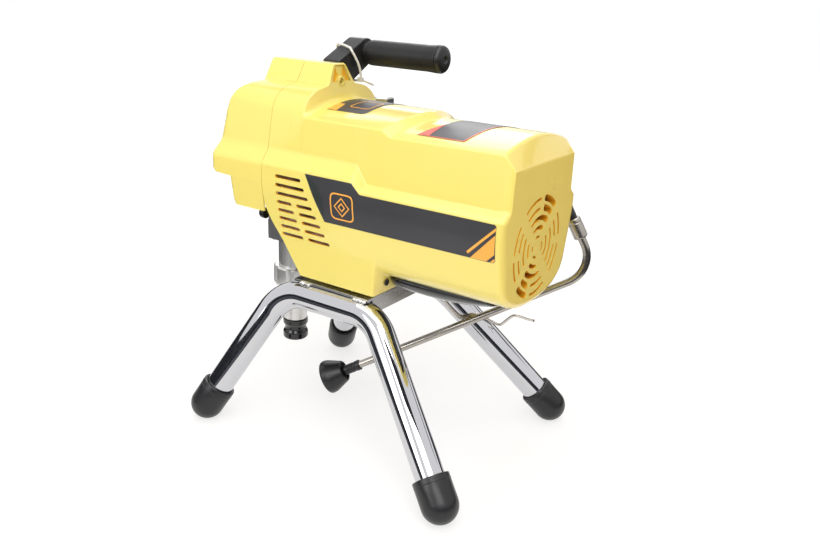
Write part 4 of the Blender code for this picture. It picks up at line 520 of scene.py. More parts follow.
def rounded_path(points, radius, steps=14):
    """A path with bends of one radius."""
    points = [Vector(p) for p in points]
    path = [points[0]]
    for before, corner, after in zip(points, points[1:], points[2:]):
        into, out = (corner - before).normalized(), (after - corner).normalized()
        turn = into.angle(out)
        centre = corner + (out - into).normalized() * (radius / math.cos(turn / 2.0))
        start = corner - into * radius * math.tan(turn / 2.0) - centre
        axis = into.cross(out).normalized()
        path += [centre + Matrix.Rotation(turn * k / steps, 3, axis) @ start
                 for k in range(steps + 1)]
    return [*path, points[-1]]


def smooth_path(points, per_span=8):
    """A smooth curve through the points."""
    points = [Vector(p) for p in points]
    padded = [2.0 * points[0] - points[1], *points, 2.0 * points[-1] - points[-2]]
    path = []
    for a, b, c, d in zip(padded, padded[1:], padded[2:], padded[3:]):
        for k in range(per_span):
            t = k / per_span
            path.append(0.5 * (2.0 * b + (c - a) * t + (2.0 * a - 5.0 * b + 4.0 * c - d) * t * t
                               + (3.0 * b - a - 3.0 * c + d) * t * t * t))
    return [*path, points[-1]]


def path_frames(path, closed):
    """Two directions across a path and one along it, at each of its points."""
    count = len(path)
    frames = []
    across = None
    for i, point in enumerate(path):
        ahead = path[(i + 1) % count] if closed or i + 1 < count else point
        behind = path[i - 1] if closed or i else point
        along = (ahead - behind).normalized()
        if across is None:
            helper = Vector((0.0, 0.0, 1.0)) if abs(along.z) < 0.9 else Vector((1.0, 0.0, 0.0))
            across = along.cross(helper)
        across = (across - along * across.dot(along)).normalized()
        frames.append((across, along.cross(across), along))
    return frames


def sweep(path, radius, sides=32, bore=0.0, closed=False, dome=False):
    """A round bar or tube along a path; dome rounds the ends of a bar."""
    frames = path_frames(path, closed)
    bm = bmesh.new()

    def ring(point, directions, size):
        a, b, _ = directions
        return [bm.verts.new(point + (a * math.cos(2.0 * math.pi * k / sides)
                                      + b * math.sin(2.0 * math.pi * k / sides)) * size)
                for k in range(sides)]

    def cap(end, sign):
        return [ring(path[end] + frames[end][2] * sign * radius * 0.5 * math.sin(turn),
                     frames[end], radius * math.cos(turn))
                for turn in (math.radians(35.0), math.radians(65.0))]

    rows = [ring(p, f, radius) for p, f in zip(path, frames)]
    if dome:
        rows = [*cap(0, -1.0)[::-1], *rows, *cap(-1, 1.0)]
    if closed:
        rows.append(rows[0])
    strips(bm, rows)
    if bore:
        inner = [ring(p, f, bore) for p, f in zip(path, frames)]
        strips(bm, inner)
        strips(bm, (rows[0], inner[0]))
        strips(bm, (rows[-1], inner[-1]))
    elif not closed:
        bm.faces.new(rows[0])
        bm.faces.new(rows[-1])
    return close(bm)


def turned(name, look, profile, axis, point, segments, setback=0.0, ring=False, **kept):
    return new_piece(name, lathe(profile, axis, point, segments, ring, setback), look, **kept)


# ------------------------------------------------------------------ covers

SEAM_Y = -116.0
WALL = 2.5
REAR_Y = 187.3
CHAMFER_Y = 175.5
ARCH_Y = -70.0
EVEN_Y = -30.0                 # from here to the rear the sections stand upright
GRILLE = (4.0, 0.0, 265.5)
BOSS = (0.6, 0.0, 403.6)
SCREW = (50.2, 36.2, 203.2)
SMOOTH = 30.0                  # setback that rounds a corner as far as its neighbours allow
# (x, z) or (x, z, setback) of the right half of a section
SIDE = ((83.0, 290.0), (79.5, 270.0), (75.5, 250.0), (72.0, 232.0))
KEEL = ((71.0, 211.0, SMOOTH), (70.0, 190.0, 2.0), (22.0, 190.0, 1.5), (0.0, 190.0, 0.0))
BELLY = ((65.0, 221.0, SMOOTH), (48.0, 210.0, SMOOTH), (22.0, 204.5, SMOOTH), (0.0, 203.5, 0.0))


def arch_roof(reach=42.5):
    points = [(0.0, 423.0, 0.0), (10.0, 423.0, 2.0)]
    for degrees in (0.0, 30.0, 51.0, 70.0, 90.0):
        angle = math.radians(degrees)
        points.append((23.0 + reach * math.sin(angle), 366.0 + 35.0 * math.cos(angle),
                       SMOOTH if degrees else 3.0))
    return points


def barrel_roof(crown, ridge):
    shares = [x / 65.5 for x, _, _ in arch_roof()]
    points = [(68.0 * share, crown - (crown - ridge) * share * share, SMOOTH) for share in shares]
    return [*points[:-1], (68.0, ridge, 3.2)]


def side_points(share):
    """Side wall, from level with the arch (0) to dropped behind the step (1)."""
    crisp = 2.6 - 1.2 * share
    return [(71.5, 331.0 - 18.0 * share, crisp), (83.0, 316.0 - 10.0 * share, crisp),
            *((x, z, SMOOTH) for x, z in SIDE)]


def front_edge(z):
    return SEAM_Y + 0.655 * max(0.0, 260.5 - z)


def shroud_row(y, roof, walls, under=(), chevron=False):
    """Half section at a length; the chevron sets the middle of the roof back."""
    points = [*roof, *walls, *under]
    row = []
    for x, z, _ in points:
        here = y
        if y < EVEN_Y:
            start = front_edge(z)
            here = start + (y - SEAM_Y) * (EVEN_Y - start) / (EVEN_Y - SEAM_Y)
        if z > 401.0 and y > SEAM_Y:
            here -= (z - 401.0) * 0.2
        if chevron and z > 331.0:
            here += 18.0 * (1.0 - min(1.0, x / 68.0))
        row.append((x, here, z))
    return soften(row, [s for _, _, s in points])


def shroud_rows():
    """Half sections front to rear, each with the setback of its rounding along the length."""
    middle, rear, end = (barrel_roof(crown, ridge) for crown, ridge in (
        (385.0, 370.5), (377.6, 364.5), (377.6, 366.2)))
    late = [(x, z + (last - z) * 0.35, s) for (x, z, s), (_, last, _) in zip(rear, end)]
    level, dropped = side_points(0.0), side_points(1.0)
    rows = [(shroud_row(*section), setback) for section, setback in (
        ((SEAM_Y, arch_roof(), level, KEEL), 0.0),
        ((ARCH_Y - 23.0, arch_roof(43.8), level, KEEL), 0.0),
        ((ARCH_Y, arch_roof(45.0), level, KEEL), 1.6),
        ((ARCH_Y + 2.6, middle, level, KEEL), 6.0),
        ((EVEN_Y, middle, level, KEEL), 0.0),
        ((8.5, middle, level, KEEL), 0.8),
        ((21.0, middle, dropped, KEEL), 0.8),
        ((33.0, middle, dropped, KEEL, True), 3.0),
        ((36.0, middle, dropped, BELLY, True), 3.0),
        ((45.0, rear, dropped, BELLY, True), 4.0),
        ((86.0, late, dropped, BELLY), 0.0),
        ((CHAMFER_Y, end, dropped, BELLY), 3.0))]
    # rear chamfer: how far before the rear face, and how much smaller the outline is
    for back, shrink in ((5.5, 0.0), (2.9, 0.75), (1.1, 2.6), (0.0, 5.5), (0.0, 9.0)):
        share = 1.0 - back / (REAR_Y - CHAMFER_Y)
        roof = [(x * (1.0 - 0.015 * share), z + (352.0 - z) * share - (shrink > 6) * 3.0, s)
                for x, z, s in end]
        walls = [(dropped[0][0] - shrink * 0.6, dropped[0][1], 3.5)]
        for x, z, setback in [*dropped[1:], *BELLY]:
            towards = Vector((x, 0.0, z - 267.0))
            towards *= 1.0 - shrink / towards.length
            walls.append((towards.x, towards.z + 267.0, setback))
        rows.append((shroud_row(REAR_Y - back, roof, walls), 0.0))
    return rows


def along_rounded(rows):
    """Round the whole surface along its length, column by column."""
    columns = []
    for column in zip(*[row for row, _ in rows]):
        path = []
        for k, (point, (_, setback)) in enumerate(zip(column, rows)):
            path += (rounded(column[k - 1], point, column[k + 1], setback, 3) if setback
                     else [point])
        columns.append(path)
    return list(zip(*columns))


def full_ring(bm, half):
    right = [bm.verts.new(point) for point in half]
    left = [bm.verts.new((-p[0], p[1], p[2])) for p in half[1:-1]]
    return right + left[::-1]


def stadium(y_low, y_high, z, height, steps=5):
    """Outline of a slot with round ends, in the side view."""
    radius = height / 2.0
    points = []
    for y, turn in ((y_high - radius, -90.0), (y_low + radius, 90.0)):
        for k in range(steps + 1):
            angle = math.radians(turn + 180.0 * k / steps)
            points.append((y + radius * math.cos(angle), z + radius * math.sin(angle)))
    return points


# height of a side vent, and its front and rear ends
VENTS = ((305.1, -95.8, -58.9), (295.4, -95.7, -54.1), (285.8, -95.6, -49.4),
         (275.7, -95.6, -74.3), (275.7, -67.4, -45.0), (266.1, -95.7, -72.2), (266.1, -65.0, -40.4),
         (256.5, -95.6, -69.6), (256.5, -62.6, -35.9), (246.9, -95.2, -66.7), (246.9, -59.9, -31.2),
         (237.4, -94.6, -63.5), (237.4, -56.5, -25.6))


def vent_cuts():
    return joined(*[prism(stadium(front, rear, z, 3.9), "x", low, high)
                    for z, front, rear in VENTS for low, high in ((60.0, 95.0), (-95.0, -60.0))])


def arc_slot(depth, radius, start, end, width_start=3.0, width_end=3.0):
    """A curved slot with round ends in the rear grille; angles in degrees from +X."""
    start, end = math.radians(start), math.radians(end)
    half_start, half_end = width_start / 2.0, width_end / 2.0
    start, end = start + half_start / radius, end - half_end / radius
    steps = max(3, int(abs(end - start) / 0.1))
    shares = [k / steps for k in range(steps + 1)]

    def at(share, side):
        angle = start + (end - start) * share
        reach = radius + side * (half_start + (half_end - half_start) * share)
        return reach * math.cos(angle), reach * math.sin(angle)

    def tip(angle, half, first):
        return [(radius * math.cos(angle) + half * math.cos(first + math.pi * k / 6),
                 radius * math.sin(angle) + half * math.sin(first + math.pi * k / 6))
                for k in range(1, 6)]

    points = [*[at(share, 1.0) for share in shares], *tip(end, half_end, end),
              *[at(share, -1.0) for share in reversed(shares)],
              *tip(start, half_start, start + math.pi)]
    return prism([(GRILLE[0] + x, GRILLE[2] + z) for x, z in points], "y", REAR_Y - depth,
                 REAR_Y + 3.0)


# radius of each ring of slots, and their angles and widths
ARCS = (
    (50.5, ((52, 90), (98, 133, 7.0, 7.0), (147, 178), (-172, -136), (-119, -82),
            (-72, -42, 7.0, 7.0), (-31, -4), (3, 36))),
    (40.5, ((52, 88), (99, 131, 7.0, 7.0), (149, 177), (-171, -137), (-116, -80),
            (-70, -44, 7.0, 7.0), (-30, -6), (4, 33))),
    (30.5, ((53, 128, 2.6, 7.0), (151, 223), (-111, -44, 2.6, 7.0), (-27, 29))),
    (20.5, ((55, 118, 3.0, 5.0), (155, 218), (-98, -47, 3.0, 5.0), (-21, 22))),
    (10.8, ((62, 112, 2.6, 2.6), (158, 212, 2.6, 2.6), (-90, -48, 2.6, 2.6),
            (-14, 16, 2.6, 2.6))))


def grille_cuts(depth):
    return joined(*[arc_slot(depth, radius, *slot) for radius, slots in ARCS for slot in slots])


def arm_outline(grow=0.0):
    """The arm from the front: top and bottom edges that open towards the root, round tip."""
    start = math.pi / 2.0 - math.atan2(22.9, 46.4)
    end = 1.5 * math.pi - math.atan2(27.7, 44.0)
    points = []
    for k in range(17):
        share = k / 16.0
        angle = start + (end - start) * share
        reach = 16.2 + (14.0 - 16.2) * share + grow
        points.append((-59.0 + reach * math.cos(angle), 432.5 + reach * math.sin(angle)))
    root = 14.0 + grow
    points += [(-14.0 - grow, 390.9 - 1.2 * grow), (-root, 384.0 - grow), (root, 384.0 - grow),
               (root, 404.0 + grow), (root - 3.0, 410.0 + grow), (-5.0 + grow, 410.0 + grow),
               (-7.0 + grow, 424.9 + 0.6 * grow)]
    return points


def make_shroud():
    bm = bmesh.new()
    rings = [full_ring(bm, half) for half in along_rounded(shroud_rows())]
    strips(bm, rings)
    bm.faces.new(rings[-1])
    facing(bm, (0.0, 1.0, 0.0))
    shroud = new_piece("shroud", bm, "yellow", replaces=("motor_shroud",), weighted=False)
    # the inner wall and the walls of the vents and grille slots get the amber painted shade
    shroud.data.materials.append(LOOKS["amber_shade"])
    thicken(shroud, WALL, even=True).material_offset = 1
    pocket = ((-16.4, 403.6), (16.4, 403.6), (7.9, 420.9), (-7.9, 420.9))
    apply_cuts(shroud, [
        (vent_cuts(), 1), (grille_cuts(8.0), 1),
        (joined(box((-24.0, -84.0, 185.0), (24.0, 22.0, 195.0)),
                box((-45.3, 37.7, 198.5), (45.3, 160.3, 211.6)),
                disc(12.0, -93.0, -65.0, "x", (0.0, -92.0, 258.0), 40),
                box((-88.0, 30.0, 268.0), (-70.0, 60.0, 286.0))), 0),
        (prism(arm_outline(1.5), "y", -105.5, -78.5), 0),
        (prism(pocket, "y", ARCH_Y - 12.0, ARCH_Y + 3.0), 0),
        (disc(5.8, -80.0, -66.0, "y", BOSS, 48), 0)])
    smooth(shroud, 32.0)
    even_normals(shroud)


def make_pocket():
    """Recess with a raised wedge and a screw boss in the rear wall of the handle root."""
    def on_wall(outline, depth, width=1.0):
        return [(x * width, ARCH_Y - max(0.0, z - 401.0) * 0.2 - depth, z) for x, z in outline]

    outer = ((-16.8, 403.2), (16.8, 403.2), (8.2, 421.2), (-8.2, 421.2))
    floor = ((-15.4, 404.2), (15.4, 404.2), (7.2, 419.9), (-7.2, 419.9))
    bm = bmesh.new()
    rows = [[bm.verts.new(point) for point in on_wall(outline, depth)]
            for outline, depth in ((outer, 0.5), (floor, 7.0))]
    bm.faces.new(rows[1])
    strips(bm, rows)
    facing(bm, (0.0, 1.0, 0.0))
    pocket = new_piece("shroud_pocket", bm, "yellow", weighted=False)
    thicken(pocket, 1.2)
    apply_cuts(pocket, [(disc(5.0, -75.6, -66.0, "y", BOSS, 48), 0)])
    turned("shroud_boss", "yellow", [(3.1, -77.6), (6.1, -77.6), (6.1, -69.7), (3.1, -69.7)],
           "y", BOSS, 48, 0.5, ring=True)
    new_piece("shroud_boss_screw", disc(3.2, -76.4, -75.8, "y", BOSS, 32), "rubber")
    wedge = ((-6.9, 420.3), (6.9, 420.3), (2.9, 408.6), (-1.9, 408.6))
    bm = loft([on_wall(wedge, 1.1), on_wall(wedge, 7.4, 0.96)])
    round_edges(new_piece("shroud_wedge", bm, "yellow"), 0.5, 2)


# (z, y) of the front cover's face in the side view, top to bottom
NOSE = ((423.0, -166.0), (401.0, -168.0), (394.0, -172.0), (388.0, -177.0), (378.0, -183.0),
        (366.0, -187.0), (342.0, -191.0), (331.0, -193.5), (316.0, -198.0), (299.0, -198.0),
        (294.5, -194.5), (293.5, -170.0), (262.0, -168.0), (259.0, -164.0))
# (x, z, setback) of its right half, in the front view
NOSE_ROOF = ((0.0, 423.0, 0.0), (10.0, 423.0, 2.0), (23.0, 398.5, 3.0), (46.0, 396.5, SMOOTH),
             (59.5, 393.0, SMOOTH), (66.5, 383.5, SMOOTH), (68.0, 366.0, SMOOTH))
NOSE_SIDE = ((71.5, 331.0, 5.0), (83.0, 316.0, 5.0), (83.0, 299.0, 1.0), (83.0, 294.5, 1.5),
             (82.9, 293.5, 1.0), (80.5, 270.0, SMOOTH), (79.5, 260.0, 0.0))


def nose_y(z):
    for (z_high, y_high), (z_low, y_low) in zip(NOSE, NOSE[1:]):
        if z >= z_low:
            share = min(1.0, max(0.0, (z - z_low) / (z_high - z_low)))
            return y_low + (y_high - y_low) * share
    return NOSE[-1][1]


def make_front_cover():
    seam, rim = (soften_rows([*roof, *NOSE_SIDE]) for roof in (arch_roof(), NOSE_ROOF))
    rows = [[(p.x, SEAM_Y - 0.6, p.z) for p in seam]]
    for k in range(8):
        angle = math.radians(90.0 * k / 7.0)
        row = []
        for p in rim:
            corner = 8.0 - 4.0 * min(1.0, max(0.0, (p.z - 398.0) / 4.0))
            inset = corner * (1.0 - math.cos(angle))
            drop = inset * 0.5 * min(1.0, max(0.0, (p.z - 340.0) / 26.0))
            forward = nose_y(p.z) + corner * (1.0 - math.sin(angle))
            row.append((p.x * (1.0 - inset / 83.0), forward, p.z - drop))
        rows.append(row)
    bm = bmesh.new()
    right = [[bm.verts.new(point) for point in row] for row in rows]
    left = [[twin[0], *[bm.verts.new((-x, y, z)) for x, y, z in row[1:]]]
            for twin, row in zip(right, rows)]
    strips(bm, right, closed=False)
    strips(bm, left, closed=False)
    last, twin = right[-1], left[-1]
    bm.faces.new((last[0], last[1], twin[1]))
    for i in range(1, len(last) - 1):
        bm.faces.new((twin[i], last[i], last[i + 1], twin[i + 1]))
    bmesh.ops.remove_doubles(bm, verts=bm.verts, dist=0.01)
    facing(bm, (0.0, -1.0, 0.0))
    cover = new_piece("nose_cover", bm, "yellow", replaces=("front_cover",), weighted=False)
    thicken(cover, WALL, even=True)
    bake(cover)
    smooth(cover, 32.0)
    even_normals(cover)


def make_grille_shade_plate():
    """Ring plate behind the grille, with the same slots; its amber is painted shade that fills the
    slots.
    """
    guard = new_piece("grille_shade_plate", disc(55.0, 177.6, 184.6, "y", GRILLE, 72), "amber_shade")
    apply_cuts(guard, [(grille_cuts(14.0), 0)])
    guard.data.set_sharp_from_angle(angle=math.radians(32.0))


def make_yoke_fittings():
    """Bolts under the casting's shelf and the rubber stops at its front."""
    for side, label in SIDES:
        place = (side * 15.5, -159.0, 0.0)
        bolt = turned(f"shelf_bolt_{label}", "steel", [
            (0.0, 203.0), (5.0, 203.0), (5.6, 203.8), (5.6, 208.0), (0.0, 208.0)], "z", place, 6)
        round_edges(bolt, 0.4, 2)
        turned(f"shelf_washer_{label}", "satin", [
            (0.0, 208.0), (7.4, 208.0), (7.4, 209.2), (0.0, 209.2)], "z", place, 40, 0.3)
        turned(f"cover_stop_{label}", "rubber", [
            (0.0, -178.0), (4.6, -178.0), (6.6, -175.4), (6.8, -169.0), (0.0, -169.0)],
            "y", (side * 21.0, 0.0, 235.5), 40, 1.0)


def make_keel_screw():
    """Recessed screw low in the rear wall of the keel; the black of its seat ring and head is
    painted shade of the screw hole.
    """
    # black seat ring and head: painted shade of the screw hole
    turned("keel_screw_hole_shade", "rubber", [(2.6, 0.0), (3.9, 0.0), (3.9, 0.7), (2.6, 0.7)], "y",
           SCREW, 32, 0.25, ring=True)
    turned("keel_screw", "rubber", [(0.0, 0.0), (2.7, 0.0), (2.7, 0.4), (1.3, 0.4), (1.3, -0.6),
                                    (0.0, -0.6)], "y", SCREW, 6)


def make_welds():
    """Uneven weld beads between the tubes' tops and the base plate's edge."""
    for side, label in SIDES:
        for name, low, high in (("front", -68.0, -54.0), ("rear", 8.0, 25.0)):
            path = [Vector((side * (73.2 + 0.5 * math.sin(k * 1.9)), low + (high - low) * k / 12.0,
                            183.6 + 0.4 * math.sin(k * 2.7))) for k in range(13)]
            bead = sweep(path, 1.7, 16, dome=True)
            for vert in bead.verts:
                swell = 0.35 * math.sin(vert.co.y * 2.4) + 0.2 * math.sin(vert.co.y * 5.1)
                centre = Vector((side * 73.2, vert.co.y, 183.6))
                vert.co += (vert.co - centre).normalized() * swell
            new_piece(f"weld_{name}_{label}", bead, "weld", weighted=False, sharp=80.0)


def make_vent_shade_sheets():
    """Sheets behind the side vents; their brownish grey is painted shade of the inside seen through
    the vents.
    """
    outline = ((-109.0, 318.0), (-109.0, 258.0), (-85.0, 222.0), (-18.0, 222.0), (-18.0, 318.0))
    for side, label in SIDES:
        sheet = prism(outline, "x", min(side * 63.0, side * 65.0), max(side * 63.0, side * 65.0))
        round_edges(new_piece(f"foam_{label}", sheet, "vent_shade"), 0.8, 2)


def make_belly_pan():
    """Half an egg of thin sheet under the motor."""
    bm = bmesh.new()
    rows = []
    for k in range(33):
        y = 38.0 + 122.0 * k / 32.0
        reach = (y - 72.0) / 98.0
        depth = 24.5 * math.sqrt(max(0.0, 1.0 - reach * reach))
        rows.append([bm.verts.new((45.0 * math.cos(math.pi * i / 32.0), y,
                                   209.6 - depth * math.sin(math.pi * i / 32.0)))
                     for i in range(33)])
    strips(bm, rows, closed=False)
    facing(bm, (0.0, 0.0, -1.0))
    pan = new_piece("under_cover", bm, "gloss_black", replaces=("belly_pan",), weighted=False)
    thicken(pan, 2.0)


# ------------------------------------------------------------------ films on the covers

def smooth_side(y, z):
    """The shroud's rounded side wall, level in front and dropped behind the step."""
    path = soften_rows(side_points(min(1.0, max(0.0, (y - 8.5) / 12.5))), 12)
    for high, low in zip(path[1:], path[2:]):
        if low.z <= z <= high.z:
            share = (z - low.z) / max(1e-6, high.z - low.z)
            return low.x + (high.x - low.x) * share
    return path[-1].x


def roof_height(x, y):
    """Top of the middle or rear roof, following the shroud's rounded columns."""
    crown, ridge = (385.0, 370.5) if y < 33.0 else (377.6, 364.5)
    if y > 86.0:
        ridge += 1.7 * (0.35 + 0.65 * (y - 86.0) / (CHAMFER_Y - 86.0))
    elif y > 45.0:
        ridge += 1.7 * 0.35 * (y - 45.0) / 41.0
    path = soften_rows(barrel_roof(crown, ridge), 8)
    for first, second in zip(path, path[1:]):
        if first.x <= abs(x) <= second.x:
            share = (abs(x) - first.x) / max(1e-6, second.x - first.x)
            return first.z + (second.z - first.z) * share
    return path[-1].z


def new_film(name, bm, look, probe):
    facing(bm, probe)
    new_piece(name, bm, look, weighted=False, sharp=60.0)


def side_film(name, outline, look, lift):
    """A thin film on the +X side, from an outline in (y, z), laid in narrow level strips."""
    heights = [z for _, z in outline]
    marks = sorted({round(z, 3) for z in heights} | {266.0 + 2.0 * k for k in range(25)})
    marks = [z for z in marks if min(heights) <= z <= max(heights)]

    def span(z):
        hits = [y0 + (y1 - y0) * (z - z0) / (z1 - z0)
                for (y0, z0), (y1, z1) in closed_pairs(outline) if (z0 - z) * (z1 - z) < 0.0]
        return min(hits), max(hits)

    bm = bmesh.new()
    columns = 30
    for z0, z1 in zip(marks, marks[1:]):
        edge = (z1 - z0) * 0.001
        rows = []
        for z, inside in ((z0, z0 + edge), (z1, z1 - edge)):
            left, right = span(inside)
            places = [left + (right - left) * k / columns for k in range(columns + 1)]
            rows.append([bm.verts.new((smooth_side(y, z) + lift, y, z)) for y in places])
        strips(bm, rows, closed=False)
    bmesh.ops.remove_doubles(bm, verts=bm.verts, dist=0.02)
    new_film(name, bm, look, (1.0, 0.0, 0.0))


def roof_film(name, outline, look, lift):
    """A thin film on the roof, from an outline in (x, y)."""
    bm = bmesh.new()
    face = bm.faces.new([bm.verts.new((x, y, 0.0)) for x, y in outline])
    bmesh.ops.triangulate(bm, faces=[face])
    for place, normal in [*[((step * 4.6, 0.0, 0.0), (1.0, 0.0, 0.0)) for step in range(-14, 15)],
                          *[((0.0, 70.0 + step * 15.0, 0.0), (0.0, 1.0, 0.0))
                            for step in range(5)]]:
        bmesh.ops.bisect_plane(bm, geom=bm.verts[:] + bm.edges[:] + bm.faces[:], plane_co=place,
                               plane_no=normal)
    for vert in bm.verts:
        vert.co.z = roof_height(vert.co.x, vert.co.y) + lift
    new_film(name, bm, look, (0.0, 0.0, 1.0))


def outline_film(name, loops, parts, spot, probe):
    """An outlined shape on a film, cut fine enough to follow it; spot places its points."""
    bm = bmesh.new()
    strips(bm, [[bm.verts.new(spot(a0 + (a1 - a0) * k / parts, b0 + (b1 - b0) * k / parts))
                 for (a0, b0), (a1, b1) in closed_pairs(loop) for k in range(parts)]
                for loop in loops])
    new_film(name, bm, "orange", probe)


def rounded_square(a, b, half_a, half_b, corner, steps):
    points = [(a + i * half_a, b + j * half_b, 0.0)
              for i, j in ((-1, -1), (1, -1), (1, 1), (-1, 1))]
    return [(p.x, p.y) for p in soften(points, corner, steps, closed=True)]


def make_side_films():
    side_film("side_film", (
        (-28.5, 264.8), (177.6, 265.4), (179.6, 267.4), (180.2, 302.4), (178.0, 304.2),
        (22.0, 304.2), (20.0, 305.0), (10.2, 314.4), (-52.5, 314.4)), "charcoal", 0.25)
    for name, outline in (
            ("stripe", ((152.6, 265.6), (170.2, 265.8), (178.9, 274.2), (179.9, 294.4))),
            ("line", ((148.6, 271.4), (150.4, 269.4), (180.0, 298.3), (180.0, 301.6))),
            ("corner", ((174.4, 265.9), (177.2, 265.8), (179.3, 267.8), (179.3, 270.6)))):
        side_film(f"side_film_{name}", outline, "orange", 0.42)
    y, z = -2.4, 286.2
    icon = [rounded_square(y, z, 15.4, 14.9, 7.0, 5), rounded_square(y, z, 13.7, 13.2, 5.6, 5)]
    diamonds = [[[(y + reach * a, z + reach * 1.04 * b)
                  for a, b in ((1, 0), (0, 1), (-1, 0), (0, -1))] for reach in reaches]
                for reaches in ((10.6, 8.8), (5.0, 3.2))]
    for name, loops in zip(("icon", "diamond", "centre"), (icon, *diamonds)):
        outline_film(f"side_film_{name}", loops, 6,
                     lambda y, z: (smooth_side(y, z) + 0.5, y, z), (1.0, 0.0, 0.0))
    for index in range(8):
        high = 312.6 - 5.4 * index
        left = -51.0 + (314.4 - high) * 0.484
        right = min(-28.2, left + 17.0)
        bottom = max(265.4, high - 0.68 * (right - left))
        if right - left > 3.0 and bottom > 266.0:
            side_film(f"side_film_bar_{index}", (
                (left, high), (left + 0.9, high - 2.3), (right, bottom - 1.7), (right, bottom)),
                "charcoal_green", 0.4)


def make_roof_films():
    for name, look, lift, outline in (
            ("rear_roof_film", "charcoal", 0.4, (
                (55.5, 70.0), (55.5, 122.6), (54.0, 124.4), (-12.0, 129.5), (-50.0, 131.0),
                (-50.0, 82.0), (18.0, 80.7))),
            ("rear_roof_film_red", "label_red", 0.6, ((55.3, 70.3), (55.3, 83.5), (18.2, 81.2))),
            ("rear_roof_film_edge", "label_red", 0.6, (
                (55.7, 83.5), (55.7, 124.2), (-12.0, 129.7), (-12.0, 128.4), (54.4, 123.0),
                (54.4, 83.5))),
            ("mid_roof_film", "charcoal", 0.4, (
                (44.4, -54.5), (44.2, -9.0), (42.6, -6.0), (38.6, -4.6), (-44.0, -4.6),
                (-44.0, -54.5)))):
        roof_film(name, outline, look, lift)
    outline_film("mid_roof_film_icon", [
        rounded_square(16.0, -22.0, 15.0, 13.5, 5.0, 6),
        rounded_square(16.0, -22.0, 13.5, 12.0, 3.5, 6)], 4,
        lambda x, y: (x, y, roof_height(x, y) + 0.6), (0.0, 0.0, 1.0))
    roof_film("mid_roof_film_corner", ((44.4, -54.5), (44.4, -41.5), (24.0, -45.5),
                                       (24.0, -54.5)), "orange", 0.6)


# ------------------------------------------------------------------ stand

def leg_corners(side):
    """Foot, two bends and foot of a tube, front to rear; the legs lean out as they go down."""
    return [Vector((side * (129.9 - 0.424 * (z - 20.0)), y, z)) for y, z in (
        (-167.1, 20.0), (-167.1 + 0.485 * 147.0, 167.0), (167.1 - 0.903 * 147.0, 167.0),
        (167.1, 20.0))]


def make_stand():
    for side, label in SIDES:
        front, front_top, rear_top, rear = leg_corners(side)
        up_front, up_rear = (front_top - front).normalized(), (rear_top - rear).normalized()
        path = rounded_path((front + up_front * 1.9, front_top, rear_top, rear + up_rear * 1.9),
                            49.0)
        new_piece(f"stand_tube_{label}", sweep(path, 16.0, 64, 14.4), "chrome",
                  replaces=(f"leg_{label}",), weighted=False)
        make_foot(f"front_{label}", front, up_front)
        make_foot(f"rear_{label}", rear, up_rear)


def make_foot(place, centre, up):
    """Cup with a ball end, cut flat just above the floor, and the moulding ridge round it."""
    ball = [(19.88 * math.sin(math.radians(7.5 * k)), -20.0 * math.cos(math.radians(7.5 * k)))
            for k in range(12)]
    cup = lathe([*ball, (19.88, 0.0), (19.88, 12.0), (20.0, 26.4), (19.6, 27.6), (18.4, 28.0),
                 (16.9, 27.6), (16.3, 26.6), (16.3, 1.6), (0.0, 1.6)], "z", (0.0, 0.0, 0.0), 64)
    foot = new_piece(f"rubber_foot_{place}", aim(cup, centre, up), "rubber",
                     replaces=(f"foot_{place}",), weighted=False)
    below = box((centre.x - 40.0, centre.y - 40.0, -40.0), (centre.x + 40.0, centre.y + 40.0, 0.8))
    apply_cuts(foot, [(below, 0)])
    smooth(foot, 40.0)
    ridge = lathe([(19.9, 0.0), (20.2, 0.5), (20.2, 1.3), (19.9, 1.8)], "z", (0.0, 0.0, 0.0), 64,
                  ring=True)
    new_piece(f"rubber_foot_ridge_{place}", aim(ridge, centre + up * 21.0, up), "rubber",
              weighted=False)


# ------------------------------------------------------------------ handle, tie and drain line

# route points of the drain hose, the drain tube, the wire clip and the tie
HOSE = ((-112.0, -49.4, 250.0), (-112.0, -36.0, 250.0), (-112.5, 0.0, 250.0),
        (-113.0, 40.0, 252.5), (-113.0, 78.0, 264.0), (-112.0, 112.0, 281.0),
        (-110.5, 138.0, 293.0), (-109.2, 154.0, 295.5), (-109.0, 165.5, 288.5),
        (-109.9, 172.9, 276.3), (-111.2, 176.25, 269.75))
TUBE = [Vector(p) for p in ((-111.3, 176.5, 269.3), (-123.4, 207.1, 209.9), (6.5, -53.3, 50.1))]
CLIP = ((-55.0, 48.5, 152.0), (-58.4, 55.6, 143.2), (-62.6, 66.6, 133.2), (-66.3, 74.6, 132.6),
        (-75.0, 82.8, 138.0), (-84.0, 90.7, 132.2), (-94.0, 98.4, 124.6), (-95.0, 106.5, 124.3),
        (-95.0, 112.3, 129.8), (-95.0, 121.6, 139.6), (-95.0, 128.6, 141.8),
        (-95.0, 139.3, 141.3), (-95.0, 149.8, 141.5))
TIE = ((-35.6, -106.6, 439.6), (-34.4, -103.5, 441.3), (-31.6, -92.0, 440.0),
       (-27.6, -81.0, 438.0), (-25.8, -77.6, 435.6), (-28.5, -75.2, 429.6), (-33.0, -73.0, 421.0),
       (-35.8, -72.2, 413.0), (-37.4, -72.4, 406.5), (-38.4, -73.6, 402.8), (-44.5, -82.0, 400.8),
       (-50.0, -92.0, 399.4), (-52.5, -103.0, 402.4), (-50.5, -108.8, 410.0),
       (-45.0, -109.4, 424.0), (-39.0, -108.8, 434.0))
TIE_HEAD = Vector(TIE[9])


